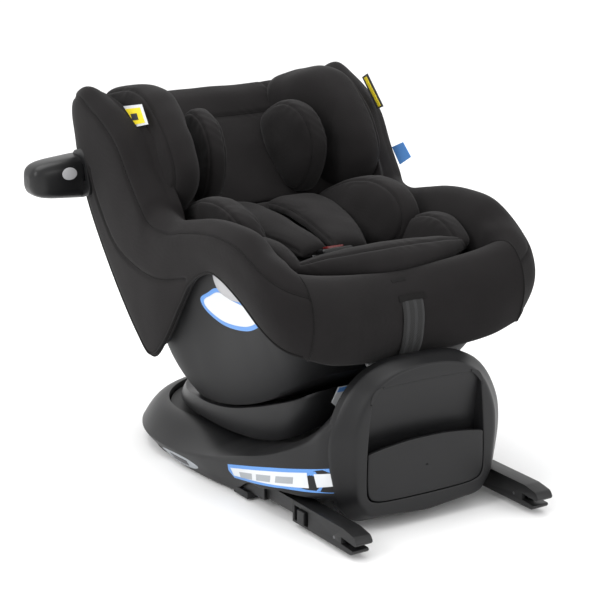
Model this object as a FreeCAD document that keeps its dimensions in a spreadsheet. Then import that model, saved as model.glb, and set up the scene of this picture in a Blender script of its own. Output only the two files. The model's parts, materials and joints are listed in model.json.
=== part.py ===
import FreeCAD, Part
import math
import os

from FreeCAD import Placement, Rotation, Vector

# Convertible car seat on a rotating base.
# Axes: +X across the seat, +Y towards the front of the vehicle, +Z up.
# The origin is on the turntable axis, at the level that the base stands on.
# The seat is turned rearward, so the child faces -Y, and it is fully reclined.
# Right (-X) and left (+X) are the child's own.

doc = FreeCAD.newDocument("convertible_car_seat")

SIZES = [
    ("seat_width", 442, "over the shoulders of the seat"),
    ("side_inner", 150, "from the middle to the inside of a side bolster"),
    ("cushion_half", 149, "half width of the seat and back cushions"),
    ("apron_half", 149, "half width of the front apron"),
    ("recline_radius", 490, "radius of the arc that the seat reclines on"),
    ("recline_axis_y", -30, "recline axis"),
    ("recline_axis_z", 582, "recline axis"),
    ("recline_angle", 15, "tilt of the seat when fully reclined"),
    ("back_angle", 30, "backrest from upright, in the seat's own frame"),
    ("strip_height", 3.1, "glide strips between carriage and seat"),
    ("base_half", 172, "half width of the base"),
    ("wall", 3, "moulded wall thickness"),
    ("panel_half", 131, "half width of the rear panel"),
    ("panel_top", 216, "height of the rear panel"),
    ("panel_rear", -407, "outer face of the rear panel"),
    ("panel_thickness", 7.5, "rear panel plate"),
    ("pocket_half", 90, "half width of the document pocket"),
    ("turntable_opening", 129.5, "radius of the opening in the base cover"),
    ("turntable_radius", 127, "radius of the turntable plate"),
    ("carriage_radius", 140, "round end of the recline carriage"),
    ("hub_radius", 40, "turntable hub"),
    ("arm_spacing", 280, "anchor arms, middle to middle"),
    ("arm_width", 24, "anchor arm head"),
    ("arm_low", 7, "underside of the anchor arm head"),
    ("arm_high", 36, "top of the anchor arm head"),
    ("arm_tip", -475, "end of the anchor arm"),
    ("arm_head_end", -330, "where the arm head meets its tube"),
    ("tube_side", 18, "square tube of the anchor arm"),
    ("tube_low", 16, "underside of the arm tube"),
    ("guide_wall", 3, "wall of the arm guide"),
    ("guide_gap", 0.5, "clearance of the arm tube in its guide"),
    ("foot_height", 3, "rubber feet"),
    ("pod_end", 293, "from the middle to the end of the side impact pod"),
    ("webbing", 38, "harness webbing width"),
]

sheet = doc.addObject("Spreadsheet::Sheet", "sizes")
for row, (alias, value, note) in enumerate(SIZES, start=1):
    sheet.set(f"A{row}", alias)
    sheet.set(f"B{row}", str(value))
    sheet.setAlias(f"B{row}", alias)
    sheet.set(f"C{row}", note)
doc.recompute()


def size(alias):
    """The value of one cell of the sheet."""
    return float(sheet.get(alias))


nodes = []


# ---------------------------------------------------------------- outlines

def corner_arc(before, here, after, radius):
    """The arc that rounds the corner at here, and its two tangent points."""
    to_before = (before - here).normalize()
    to_after = (after - here).normalize()
    half_angle = to_before.getAngle(to_after) / 2
    along = radius / math.tan(half_angle)
    start = here + to_before * along
    end = here + to_after * along
    bisector = (to_before + to_after).normalize()
    centre = here + bisector * (radius / math.sin(half_angle))
    middle = centre - bisector * radius
    return start, end, Part.Arc(start, middle, end)


def outline(points):
    """Lines and corner arcs of a closed outline of (u, v) or (u, v, radius)."""
    corners = [Vector(p[0], p[1], 0) for p in points]
    radii = [p[2] if len(p) > 2 else 0 for p in points]
    entries = []
    exits = []
    arcs = []
    for i, here in enumerate(corners):
        if radii[i] == 0:
            entries.append(here)
            exits.append(here)
            arcs.append(None)
            continue
        before = corners[i - 1]
        after = corners[(i + 1) % len(corners)]
        start, end, arc = corner_arc(before, here, after, radii[i])
        entries.append(start)
        exits.append(end)
        arcs.append(arc)
    shapes = []
    for i in range(len(corners)):
        if arcs[i]:
            shapes.append(arcs[i])
        following = entries[(i + 1) % len(corners)]
        if exits[i].distanceToPoint(following) > 1e-6:
            shapes.append(Part.LineSegment(exits[i], following))
    return shapes


def mirrored(half):
    """A closed outline from its half at u >= 0, listed from bottom to top."""
    other = [(-p[0],) + tuple(p[1:]) for p in reversed(half)]
    return half + other


# ---------------------------------------------------------------- features

def attach(body, sketch, plane, offset):
    """Put a sketch on one of the body's own origin planes."""
    for feature in body.Origin.OriginFeatures:
        if feature.Role == plane:
            sketch.AttachmentSupport = [(feature, "")]
    sketch.MapMode = "FlatFace"
    sketch.setExpression("AttachmentOffset.Base.z", str(offset))


def slab(name, plane, shapes, length, offset=0, both_ways=False):
    """A body padded from one closed outline; length and offset may be expressions."""
    body = doc.addObject("PartDesign::Body", name)
    sketch = body.newObject("Sketcher::SketchObject", name + "_outline")
    attach(body, sketch, plane, offset)
    for shape in shapes:
        sketch.addGeometry(shape, False)
    doc.recompute()
    pad = body.newObject("PartDesign::Pad", name + "_pad")
    pad.Profile = sketch
    pad.setExpression("Length", str(length))
    pad.Midplane = both_ways
    doc.recompute()
    return body


def side_slab(name, points, length, offset=0, both_ways=False):
    """A slab across the seat from an outline of (y, z) points."""
    return slab(name, "YZ_Plane", outline(points), length, offset, both_ways)


def plan_slab(name, points, length, offset=0):
    """An upright slab from an outline of (x, y) points."""
    return slab(name, "XY_Plane", outline(points), length, offset)


def front_slab(name, points, front, depth):
    """A slab from an outline of (x, z) points, from y = front back to front + depth."""
    return slab(name, "XZ_Plane", outline(points), depth, f"-({front}) - ({depth})")


def turned(name, points):
    """A body revolved about Z from an outline of (radius, z) points."""
    body = doc.addObject("PartDesign::Body", name)
    sketch = body.newObject("Sketcher::SketchObject", name + "_outline")
    attach(body, sketch, "XZ_Plane", 0)
    for shape in outline(points):
        sketch.addGeometry(shape, False)
    doc.recompute()
    revolution = body.newObject("PartDesign::Revolution", name + "_turn")
    revolution.Profile = sketch
    revolution.ReferenceAxis = (sketch, ["V_Axis"])
    revolution.Angle = 360
    doc.recompute()
    return body


def block(name, low, high):
    """A Part::Box between two corners, each given as three expressions."""
    box = doc.addObject("Part::Box", name)
    for side, bottom, top in zip(("Length", "Width", "Height"), low, high):
        box.setExpression(side, f"({top}) - ({bottom})")
    for axis, bottom in zip("xyz", low):
        box.setExpression(f"Placement.Base.{axis}", f"({bottom})")
    doc.recompute()
    return box


def rod(name, radius, length, base, direction):
    """A Part::Cylinder from base along direction."""
    cylinder = doc.addObject("Part::Cylinder", name)
    cylinder.setExpression("Radius", str(radius))
    cylinder.setExpression("Height", str(length))
    cylinder.Placement = Placement(Vector(*base), Rotation(Vector(0, 0, 1), Vector(*direction)))
    doc.recompute()
    return cylinder


def fuse(name, parts):
    """One solid from several that touch, or a group of several."""
    result = doc.addObject("Part::MultiFuse", name)
    result.Shapes = parts
    result.Refine = True
    doc.recompute()
    return result


def common(name, base, tool):
    result = doc.addObject("Part::Common", name)
    result.Base = base
    result.Tool = tool
    doc.recompute()
    return result


def cut(name, base, tools):
    """The base with every tool taken away."""
    for number, tool in enumerate(tools):
        result = doc.addObject("Part::Cut", f"{name}_{number}")
        result.Base = base
        result.Tool = tool
        base = result
    doc.recompute()
    return base


def rounded(name, base, radius, pick=None):
    """The base with the picked edges (all of them by default) rounded."""
    result = doc.addObject("Part::Fillet", name)
    result.Base = base
    edges = base.Shape.Edges
    chosen = [i + 1 for i, edge in enumerate(edges) if pick is None or pick(edge)]
    result.Edges = [(number, radius, radius) for number in chosen]
    doc.recompute()
    return result


def keep(part, label, frame=None):
    """Give a finished sub-part its label, and its place if it has one."""
    part.Label = label
    if frame is not None:
        for path in ("Placement.Base.x", "Placement.Base.y", "Placement.Base.z"):
            part.setExpression(path, None)
        part.Placement = frame.multiply(part.Placement)
    nodes.append(part)
    return part


# ---------------------------------------------------------------- frames

recline_axis = Vector(0, size("recline_axis_y"), size("recline_axis_z"))
tilt = Rotation(Vector(1, 0, 0), -size("recline_angle"))
# The seat's own frame: the origin is the lowest point of its recline arc.
seat_frame = Placement(recline_axis + tilt.multVec(Vector(0, 0, -size("recline_radius"))), tilt)
SIDES = (("right", -1), ("left", 1))


# ---------------------------------------------------------------- base

def base_outlines():
    """Side and plan outlines of the base, inset by the given distance."""
    top = size("panel_top")

    def side(inset, bottom):
        return [
            (180, bottom), (180, 54 - inset), (-110, 54 - inset, 60), (-200, 61 - inset, 120),
            (-292, 84 - inset, 120), (-345 - inset, 118 - inset, 60), (-377 - inset, 180, 60),
            (-384 - inset, top - inset, 5), (-399.2, top - inset), (-399.2, 46),
            (-300, 44), (-232, 30), (-228, bottom)]

    def plan(inset):
        half = size("base_half") - inset
        return mirrored([
            (size("panel_half") - 1 - inset, -400), (145 - inset, -335, 150),
            (166 - inset, -230, 150), (half, -60, 150), (half, 0)])
    return side, plan


def base_shape(name, inset, bottom):
    """The outer form of the base, or the space inside it."""
    side, plan = base_outlines()
    length = side_slab(name + "_side", side(inset, bottom), 400, 0, True)
    spread = plan_slab(name + "_plan", plan(inset), 300, -5)
    dome = turned(name + "_dome", [
        (0, bottom), (170 - inset, bottom), (176 - inset, 24, 30),
        (166 - inset, 42 - inset, 20), (146 - inset, 58 - inset, 6), (0, 58 - inset)])
    return fuse(name, [common(name + "_body", length, spread), dome])


def base_parts():
    outer = base_shape("cover_form", 0, 2)
    inner = base_shape("cover_space", size("wall"), -4)
    opening = rod("cover_opening", "sizes.turntable_opening", 60, (0, 0, 20), (0, 0, 1))
    inside_rear = block("cover_rear_inside", ("-sizes.panel_half + 4", -420, 49),
                        ("sizes.panel_half - 4", -395, "sizes.panel_top - 4"))
    keep(cut("base_cover", outer, [inner, opening, inside_rear]), "base_cover")

    # The tray closes the underside and carries the turntable's race.
    tray_plan = plan_slab("tray_plan", mirrored([
        (118, -228), (150, -200, 60), (160, -60, 150), (160, 20, 150), (110, 118, 90),
        (46, 158)]), 5, "sizes.foot_height")
    deck = rod("tray_deck", 126, 6, (0, 0, 24), (0, 0, 1))
    race = rod("tray_race", 126, 6, (0, 0, 30), (0, 0, 1))
    race_inside = rod("tray_race_inside", 96, 7, (0, 0, 30), (0, 0, 1))
    drum = rod("tray_drum", 124, 21, (0, 0, 3), (0, 0, 1))
    drum_inside = rod("tray_drum_inside", 118, 16, (0, 0, 8), (0, 0, 1))
    hub_hole = rod("tray_hub_hole", "sizes.hub_radius + 3", 60, (0, 0, -10), (0, 0, 1))
    drum_wall = cut("tray_drum_wall", drum, [drum_inside])
    ring = cut("tray_ring", race, [race_inside])
    rails = []
    lugs = []
    for side, sign in SIDES:
        ends = sorted((sign * 131, sign * 149))
        rails.append(block(f"tray_rail_{side}", (ends[0], -205, 6), (ends[1], -70, 12.4)))
        ends = sorted((sign * 128, sign * 157))
        lugs.append(block(f"tray_lug_{side}", (ends[0], -227, 3.1), (ends[1], -192, 12.4)))
    solid = fuse("tray_solid", [tray_plan, drum_wall, deck, ring] + rails + lugs)
    keep(cut("base_tray", solid, [hub_hole]), "base_tray")

    pads = []
    for number in range(8):
        angle = math.radians(45 * number + 22.5)
        base = (111 * math.cos(angle), 111 * math.sin(angle), 36)
        pads.append(rod(f"glide_pad_{number}", 9, 5.6, base, (0, 0, 1)))
    keep(fuse("glide_pads", pads), "glide_pads")

    feet = []
    for x, y in ((-100, 90), (100, 90), (-125, -190), (125, -190)):
        feet.append(rod(f"foot_{x}_{y}", 13, "sizes.foot_height", (x, y, 0), (0, 0, 1)))
    keep(fuse("rubber_feet", feet), "rubber_feet")


def panel_parts():
    """Rear panel with its recess, and the front wall of the document pocket."""
    plate = front_slab("panel_plate", mirrored([
        (100, 18, 8), (113, 42, 10), (131, 58, 12), (131, 160, 80), (110, size("panel_top"), 36)]),
        "sizes.panel_rear", "sizes.panel_thickness")
    recess_back = side_slab("panel_recess_back", [
        (-402, 196), (-394, 191), (-378.5, 112), (-378.5, 47), (-402, 47)],
        "2 * (sizes.pocket_half + 2.5)", 0, True)
    recess = side_slab("panel_recess", [
        (-420, 193), (-397, 188), (-381, 111), (-381, 50), (-420, 50)],
        "2 * sizes.pocket_half", 0, True)
    keep(cut("rear_panel", fuse("panel_solid", [plate, recess_back]), [recess]), "rear_panel")
    wall = front_slab("pocket_wall", mirrored([
        (86, 50.3, 10), (89.7, 107, 3), (45, 114, 90), (0.1, 115.5)]), "sizes.panel_rear + 0.6", 3)
    keep(wall, "document_pocket")


def arm_parts(side, sign):
    """Anchor arm with its hook, the pin of the hook, the release slide and the guide."""
    middle = sign * size("arm_spacing") / 2
    half = size("arm_width") / 2
    tip = size("arm_tip")
    head = side_slab(f"arm_head_{side}", [
        (-330, 7), (tip + 12, 7, 5), (tip + 6, 13, 2), (tip + 34, 14.5), (tip + 34, 23.5),
        (tip + 3, 21, 2), (tip, 25, 3), (tip + 5, 32, 8), (tip + 28, 36, 30), (-330, 36)],
        "sizes.arm_width", middle - half)
    tube = block(f"arm_tube_{side}",
                 (f"{middle} - sizes.tube_side / 2", "sizes.arm_head_end - 5", "sizes.tube_low"),
                 (f"{middle} + sizes.tube_side / 2", -150, "sizes.tube_low + sizes.tube_side"))
    hook_room = block(f"hook_room_{side}", (middle - 5, tip + 25, 11.5), (middle + 5, tip + 58, 27))
    slide_room = block(f"slide_room_{side}", (middle + sign * 9 - 4, -366, 10),
                       (middle + sign * 9 + 4, -334, 30))
    solid = fuse(f"arm_solid_{side}", [head, tube])
    pin_hole = rod(f"hook_pin_hole_{side}", 2, 26, (middle - 13, tip + 50, 18), (1, 0, 0))
    arm = cut(f"arm_{side}", solid, [hook_room, slide_room, pin_hole])
    keep(arm, f"anchor_arm_{side}")
    pin = rod(f"pin_{side}", 2, 24, (middle - 12, tip + 50, 18), (1, 0, 0))
    keep(pin, f"hook_pin_{side}")
    blade = side_slab(f"hook_blade_{side}", [
        (tip + 55, 14, 2), (tip + 55, 22, 3), (tip + 36, 23, 2), (tip + 29, 19, 1),
        (tip + 29, 15.5), (tip + 34, 18, 2), (tip + 42, 14, 2)], 8, middle - 4)
    eye = rod(f"hook_eye_{side}", 2, 26, (middle - 13, tip + 50, 18), (1, 0, 0))
    keep(cut(f"hook_{side}", blade, [eye]), f"anchor_hook_{side}")
    outer = middle + sign * half
    slider = block(f"slider_{side}", (min(outer - sign * 6.5, outer + sign * 4), -362, 11),
                   (max(outer - sign * 6.5, outer + sign * 4), -346, 29))
    keep(rounded(f"slider_round_{side}", slider, 1.5), f"release_slide_{side}")
    gap = size("guide_gap")
    wall = size("guide_wall")
    low = size("tube_low")
    high = low + size("tube_side")
    reach = size("tube_side") / 2 + gap
    sleeve = block(f"guide_outside_{side}", (middle - reach - wall, -262, low - gap - wall),
                   (middle + reach + wall, -60, high + gap + wall))
    bore = block(f"guide_inside_{side}", (middle - reach, -270, low - gap),
                 (middle + reach, -50, high + gap))
    keep(cut(f"guide_{side}", sleeve, [bore]), f"arm_guide_{side}")


# ---------------------------------------------------------------- turntable

def turntable_parts():
    plate = rod("turntable_disc", "sizes.turntable_radius", 8, (0, 0, 42), (0, 0, 1))
    hub = rod("turntable_hub", "sizes.hub_radius", 22.2, (0, 0, 19.8), (0, 0, 1))
    keep(fuse("turntable", [plate, hub]), "turntable_plate")
    ring = rod("retainer_disc", 56, 3.8, (0, 0, 19.8), (0, 0, 1))
    bore = rod("retainer_bore", "sizes.hub_radius", 10, (0, 0, 15), (0, 0, 1))
    keep(cut("retainer", ring, [bore]), "turntable_retainer")

    axis_y = size("recline_axis_y")
    axis_z = size("recline_axis_z")
    top_radius = size("recline_radius") + size("strip_height") + 0.4
    side = side_slab("carriage_side", [
        (150, 61), (150, 240), (-306, 240), (-306, 166, 6), (-285, 140, 60), (-230, 100, 60),
        (-165, 72, 40), (-136, 61)], 320, 0, True)
    plan = plan_slab("carriage_plan", mirrored([
        (96, -307, 16), (122, -270, 40), (134, -180, 200), (138, -40, 200), (138, 0, 40),
        (134, 34, 40), (118, 72, 60), (96, 100, 60), (60, 124, 60)]), 200, 55)
    form = common("carriage_form", side, plan)
    bowl = rod("carriage_bowl", top_radius, 320, (-160, axis_y, axis_z), (1, 0, 0))
    plug = rod("carriage_plug", "sizes.turntable_radius - 2", 12, (0, 0, 50), (0, 0, 1))
    hollow_side = side_slab("carriage_hollow_side", [
        (90, 66), (90, 240), (-294, 240), (-294, 168, 6), (-279, 146, 60), (-226, 105, 60),
        (-164, 77, 40), (-136, 66)], 180, 0, True)
    roof = rod("carriage_roof", top_radius + 5, 320, (-160, axis_y, axis_z), (1, 0, 0))
    hollow = cut("carriage_hollow", hollow_side, [roof])
    drain = rod("carriage_drain", 30, 30, (0, 0, 45), (0, 0, 1))
    solid = fuse("carriage_solid", [cut("carriage_upper", form, [bowl]), plug])
    keep(cut("carriage", solid, [hollow, drain]), "recline_carriage")

    strips = []
    for side_name, sign in SIDES:
        ring = rod(f"strip_ring_{side_name}", top_radius, 14, (sign * 66 - 7, axis_y, axis_z),
                   (1, 0, 0))
        inside = rod(f"strip_inside_{side_name}", "sizes.recline_radius + 0.4", 20,
                     (sign * 66 - 10, axis_y, axis_z), (1, 0, 0))
        reach = block(f"strip_reach_{side_name}", (sign * 66 - 8, -298, 60), (sign * 66 + 8, 96, 230))
        strips.append(common(f"strip_{side_name}", cut(f"strip_cut_{side_name}", ring, [inside]),
                             reach))
    keep(fuse("glide_strips", strips), "recline_glide_strips")


# ---------------------------------------------------------------- seat

HEM = [(56, 94, 6), (-14, 146, 30), (-52, 173, 30), (-98, 184, 30), (-133, 176, 30),
       (-172, 145, 40), (-204, 104, 30), (-238, 88, 10)]
RIM = [(-258, 132, 20), (-255, 172, 25), (-240, 196, 30), (-205, 218, 60), (-150, 238, 80),
       (-60, 245, 80), (0, 252, 30), (26, 276, 40), (46, 318, 60), (82, 388, 60), (118, 424, 50),
       (160, 452, 20), (198, 450, 18), (212, 428, 14)]
REAR = [(203, 375, 60), (194, 300, 60), (166, 232, 60), (136, 158, 60), (112, 94, 20),
        (88, 76, 6)]


def shell_parts():
    """The moulded tub that reclines on the carriage, and the back shell above it."""
    radius = size("recline_radius")

    def on_arc(angle):
        turn = math.radians(angle)
        return Vector(radius * math.sin(turn), radius - radius * math.cos(turn), 0)

    front_end = on_arc(-22)
    rear_end = on_arc(15.1)
    upper = [(rear_end.x, rear_end.y), (122, 60), (109, 90), (60, 96)]
    upper = upper + [(-14, 160), (-52, 190), (-98, 200), (-133, 190), (-172, 160), (-204, 120)]
    upper = upper + [(-235.5, 102), (-235.5, 84), (-192, 62), (front_end.x, front_end.y)]
    shapes = [Part.Arc(front_end, on_arc(-4), rear_end)]
    for first, second in zip(upper, upper[1:]):
        shapes.append(Part.LineSegment(Vector(*first, 0), Vector(*second, 0)))
    side = slab("tub_side", "YZ_Plane", shapes, 400, 0, True)
    front = slab("tub_front", "XZ_Plane", outline(mirrored([
        (126, -2, 10), (140, 18, 40), (166, 66, 80), (186, 130, 80), (194, 200)])),
        600, -300)
    form = common("tub_form", side, front)
    hem = side_slab("tub_hem", [(80, 93), (80, 420), (-300, 420), (-300, 87)]
                    + [(y, z - 1, r) for y, z, r in reversed(HEM)], 500, 0, True)
    well = block("tub_well", ("-sizes.side_inner", -300, 88), ("sizes.side_inner", 200, 300))
    belly = side_slab("tub_belly", [
        (-205, 58, 10), (-205, 83), (100, 83), (104, 24, 10), (0, 8, 300), (-100, 17, 300)],
        240, 0, True)
    slot = block("tub_slot", (-30, -110, 60), (30, -80, 100))
    holes = [block(f"handle_hole_{sign}", (sign * 30 - 4.5, -200, 49), (sign * 30 + 4.5, -168, 56))
             for side, sign in SIDES]
    pivots = [rod(f"lever_hole_{sign}", 3.06, 22, (sign * 177, -98, 168), (sign, 0, 0))
              for side, sign in SIDES]
    tails = [side_slab(f"tail_room_{side}", [(50, 120), (50, 96.5), (87, 74.8), (140, 74.8), (140, 120)],
                       80, 149 if sign > 0 else -229) for side, sign in SIDES]
    tools = [hem, well, belly, slot] + holes + pivots + tails
    keep(cut("seat_shell", form, tools), "seat_shell", seat_frame)

    back = side_slab("back_shell_solid", [
        (112.5, 91), (118.5, 91), (120, 148, 40), (147, 212, 60), (186, 296, 60), (243, 424, 8),
        (232, 434, 6), (224, 429), (236, 422), (180, 298, 60), (141, 215, 60), (114, 150, 40)],
        "2 * sizes.cushion_half", 0, True)
    keep(back, "back_shell", seat_frame)


def bolster(side, sign):
    """One upholstered side of the seat, from its hem over the rim."""
    long_side = side_slab(f"bolster_side_{side}", HEM + RIM + REAR, 74,
                          150 if sign > 0 else -224)
    half_width = size("seat_width") / 2
    inner = size("side_inner")
    front = slab(f"bolster_front_{side}", "XZ_Plane", outline([
        (sign * inner, 60), (sign * 180, 60, 20), (sign * 198, 110, 60), (sign * 203, 200, 60),
        (sign * 208, 300, 60), (sign * half_width, 410, 60), (sign * half_width, 460),
        (sign * 177, 460), (sign * 177, 320, 60), (sign * 163, 266, 10), (sign * inner, 240, 10)]),
        560, -300)
    form = common(f"bolster_{side}", long_side, front)
    corner = slab(f"bolster_corner_{side}", "XY_Plane", outline([
        (sign * 140, 300), (sign * 140, -262), (sign * 165, -262, 40), (sign * 207, -215, 60),
        (sign * 226, 0), (sign * 226, 300)]), 500)
    ends = sorted((sign * 211, sign * 240))
    seat = block(f"socket_seat_{side}", (ends[0], 165.5, 303), (ends[1], 209, 371))
    ends = sorted((sign * 199, sign * 240))
    tongue_room = block(f"tongue_room_{side}", (ends[0], 176, 325), (ends[1], 198, 349))
    solid = common(f"bolster_form_{side}", form, corner)
    keep(cut(f"bolster_cut_{side}", solid, [seat, tongue_room]), f"side_bolster_{side}", seat_frame)


def cushion_parts():
    half = "2 * sizes.cushion_half"
    keep(side_slab("apron", [
        (-236.5, 67), (-249, 72, 5), (-259, 128, 30), (-256, 158, 12), (-236.5, 152)],
        "2 * sizes.apron_half", 0, True), "front_apron", seat_frame)
    keep(side_slab("seat_pad", [
        (-235.5, 89, 6), (-235.5, 148, 12), (-60, 138, 200), (58, 142, 4), (58, 89, 6)],
        half, 0, True), "seat_cushion", seat_frame)
    keep(side_slab("back_pad", [
        (60, 92, 4), (111, 92, 4), (112.5, 150, 40), (139.5, 216, 60), (178.5, 299, 60),
        (234, 421, 4), (219, 426, 4), (62, 152, 6)], half, 0, True), "back_cushion", seat_frame)


def headrest_line(height):
    """Y of the face behind the child's head, at a height in the seat's own frame."""
    return 112 + math.tan(math.radians(size("back_angle"))) * (height - 268)


def headrest_parts():
    """The sliding headrest: its carrier, pads and wings."""
    low, high = 266, 430
    keep(side_slab("headrest_carrier", [
        (headrest_line(low) + 11.3, low), (headrest_line(high) + 11.3, high),
        (headrest_line(high) + 15, high), (headrest_line(low) + 15, low)], 224, 0, True),
        "headrest_carrier", seat_frame)
    keep(side_slab("headrest_middle", [
        (headrest_line(low), low, 4), (headrest_line(high), high, 4),
        (headrest_line(high) + 11, high, 3), (headrest_line(low) + 11, low, 3)], 224, 0, True),
        "headrest_pad", seat_frame)
    for side, sign in SIDES:
        keep(side_slab(f"wing_{side}", [
            (126, 267, 8), (60, 276, 20), (8, 298, 20), (-6, 332, 30), (8, 376, 40), (48, 422, 30),
            (96, 446, 30), (150, 448, 20), (headrest_line(438) + 13, 438, 8)], 47,
            113 if sign > 0 else -160), f"headrest_wing_{side}", seat_frame)
        pad = side_slab(f"head_pad_{side}", [
            (headrest_line(273) - 1, 273, 6), (62, 276, 20), (36, 306, 25), (34, 344, 25),
            (60, 388, 25), (110, 402, 20), (headrest_line(396) - 1, 396, 8)], 44,
            68 if sign > 0 else -112)
        keep(pad, f"head_pad_{side}", seat_frame)


def insert_parts():
    """The newborn insert: its seat pad with the front roll, and the side pads."""
    keep(side_slab("insert_pad", [
        (-230, 152, 8), (-233, 172, 9), (-220, 189, 10), (-200, 187, 10), (-184, 172, 20),
        (-40, 166, 80), (34, 172, 20), (84, 234, 4), (90, 241, 4), (111, 240, 4), (64, 158, 6),
        (56, 151)], 256, 0, True), "insert_seat_pad", seat_frame)
    for side, sign in SIDES:
        keep(side_slab(f"torso_pad_{side}", [
            (28, 178, 6), (80, 258, 8), (46, 280, 25), (-20, 284, 40), (-86, 262, 30),
            (-116, 216, 20), (-104, 178, 8)], 47, 100 if sign > 0 else -147),
            f"insert_torso_pad_{side}", seat_frame)
        keep(side_slab(f"hip_pad_{side}", [
            (-122, 176, 6), (-120, 204, 10), (-145, 214, 20), (-178, 205, 20), (-194, 180, 8)],
            40, 106 if sign > 0 else -146), f"insert_hip_pad_{side}", seat_frame)


def along_strap(name, start, end, width, thick, lift=0):
    """A flat strip between two points, lifted off the line by a distance."""
    along = end - start
    turn = Rotation(along, Vector(-1, 0, 0), Vector(0, 0, 1), "XZY")
    strip = doc.addObject("Part::Box", name)
    strip.setExpression("Length", str(along.Length))
    strip.setExpression("Width", str(width))
    strip.setExpression("Height", str(thick))
    breadth = width if isinstance(width, (int, float)) else size(width.split(".")[1])
    strip.Placement = Placement(start + turn.multVec(Vector(0, -breadth / 2, lift)), turn)
    doc.recompute()
    return strip


def harness_parts():
    """Five-point harness: straps with their pads, the tongues, the buckle and the adjuster."""
    for side, sign in SIDES:
        top = Vector(sign * 54, 118, 259)
        shoulder = Vector(sign * 51, 84, 248)
        hip = Vector(sign * 37, -62, 200)
        joint = Vector(sign * 30, -74, 196)
        pad = along_strap(f"harness_pad_{side}", shoulder, hip, 52, 10, 1.9)
        keep(rounded(f"harness_pad_round_{side}", pad, 4.5), f"shoulder_pad_{side}", seat_frame)
        strap = along_strap(f"harness_strap_{side}", top, joint, "sizes.webbing", 1.6)
        keep(strap, f"shoulder_strap_{side}", seat_frame)
        lap = along_strap(f"lap_webbing_{side}", Vector(sign * 99, -20, 176),
                          Vector(sign * 34, -76, 178), 30, 1.6)
        keep(lap, f"lap_strap_{side}", seat_frame)
        ends = sorted((sign * 24.4, sign * 33))
        tongue = block(f"tongue_plate_{side}", (ends[0], -84, 181), (ends[1], -64, 184))
        keep(tongue, f"buckle_tongue_{side}", seat_frame)
    body = block("buckle_block", (-24, -98, 178.5), (24, -52, 190))
    well = block("buckle_well", (-13, -92, 184), (13, -74, 195))
    keep(cut("buckle", rounded("buckle_round", body, 3.5), [well]), "buckle_body", seat_frame)
    button = block("buckle_button_block", (-12.6, -91.6, 187.4), (12.6, -74.4, 192.4))
    keep(button, "buckle_button", seat_frame)
    keep(block("crotch_webbing", (-14, -152, 174.4), (14, -60, 176.4)), "crotch_strap", seat_frame)
    pad = block("crotch_pad_block", (-24, -150, 176.8), (24, -101, 184.8))
    keep(rounded("crotch_pad_round", pad, 3), "crotch_pad", seat_frame)
    keep(side_slab("adjuster_webbing", [
        (-250.2, 76), (-251.8, 76), (-261.4, 130), (-259.8, 130)], "sizes.webbing", 0, True),
        "adjuster_strap", seat_frame)
    keep(block("adjuster_block", (-16, -262.6, 135), (16, -259.4, 147)), "adjuster_button",
         seat_frame)


def control_parts():
    """Side levers, the recline handle, and the side impact pod with its sockets."""
    for side, sign in SIDES:
        inside = 194.4 if sign > 0 else -200.4
        lever = side_slab(f"lever_{side}", [
            (-95, 177, 3), (-124, 170, 30), (-163, 144, 3), (-144, 143, 20), (-123, 147, 20),
            (-94, 161, 3)], 6, inside)
        pivot = rod(f"lever_pivot_{side}", 3, 17, (sign * 180, -98, 168), (sign, 0, 0))
        keep(fuse(f"lever_solid_{side}", [lever, pivot]), f"turn_lever_{side}", seat_frame)
    bar = block("handle_bar", (-44, -216, 49.6), (44, -199, 55.4))
    prongs = [block(f"handle_prong_{sign}", (sign * 30 - 4, -204, 50), (sign * 30 + 4, -178, 55))
              for side, sign in SIDES]
    keep(fuse("handle", [rounded("handle_round", bar, 2)] + prongs), "recline_handle", seat_frame)
    sockets = []
    for side, sign in SIDES:
        low = min(sign * 211.5, sign * 219.5)
        plate = side_slab(f"socket_{side}", [
            (166, 304, 12), (206, 304, 12), (208, 370, 12), (170, 370, 12)], 8, low)
        hole = block(f"socket_hole_{side}", (low - 1, 176, 325), (low + 9, 198, 349))
        sockets.append(cut(f"socket_cut_{side}", plate, [hole]))
    keep(fuse("sockets", sockets), "pod_sockets", seat_frame)
    end = size("pod_end")
    plan = plan_slab("pod_plan", [
        (-220, 168, 2), (-end, 172, 13), (-end, 202, 13), (-220, 206, 2)], 58, 308)
    front = slab("pod_front", "XZ_Plane", outline([
        (-219, 309, 4), (-end, 309, 26), (-end, 365, 26), (-219, 365, 4)]), 60, -220)
    body = common("pod_form", plan, front)
    tongue = block("pod_tongue", (-224, 176.4, 325.4), (-202, 197.6, 348.6))
    recess = block("pod_button_hole", (-256, 160, 326), (-234, 176, 345))
    keep(cut("pod", fuse("pod_solid", [body, tongue]), [recess]), "side_impact_pod", seat_frame)
    keep(block("pod_button_block", (-255.6, 167, 326.4), (-234.4, 173.6, 344.6)), "pod_button",
         seat_frame)


base_parts()
panel_parts()
for side_name, side_sign in SIDES:
    arm_parts(side_name, side_sign)
turntable_parts()
shell_parts()
for side_name, side_sign in SIDES:
    bolster(side_name, side_sign)
cushion_parts()
headrest_parts()
insert_parts()
harness_parts()
control_parts()

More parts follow.
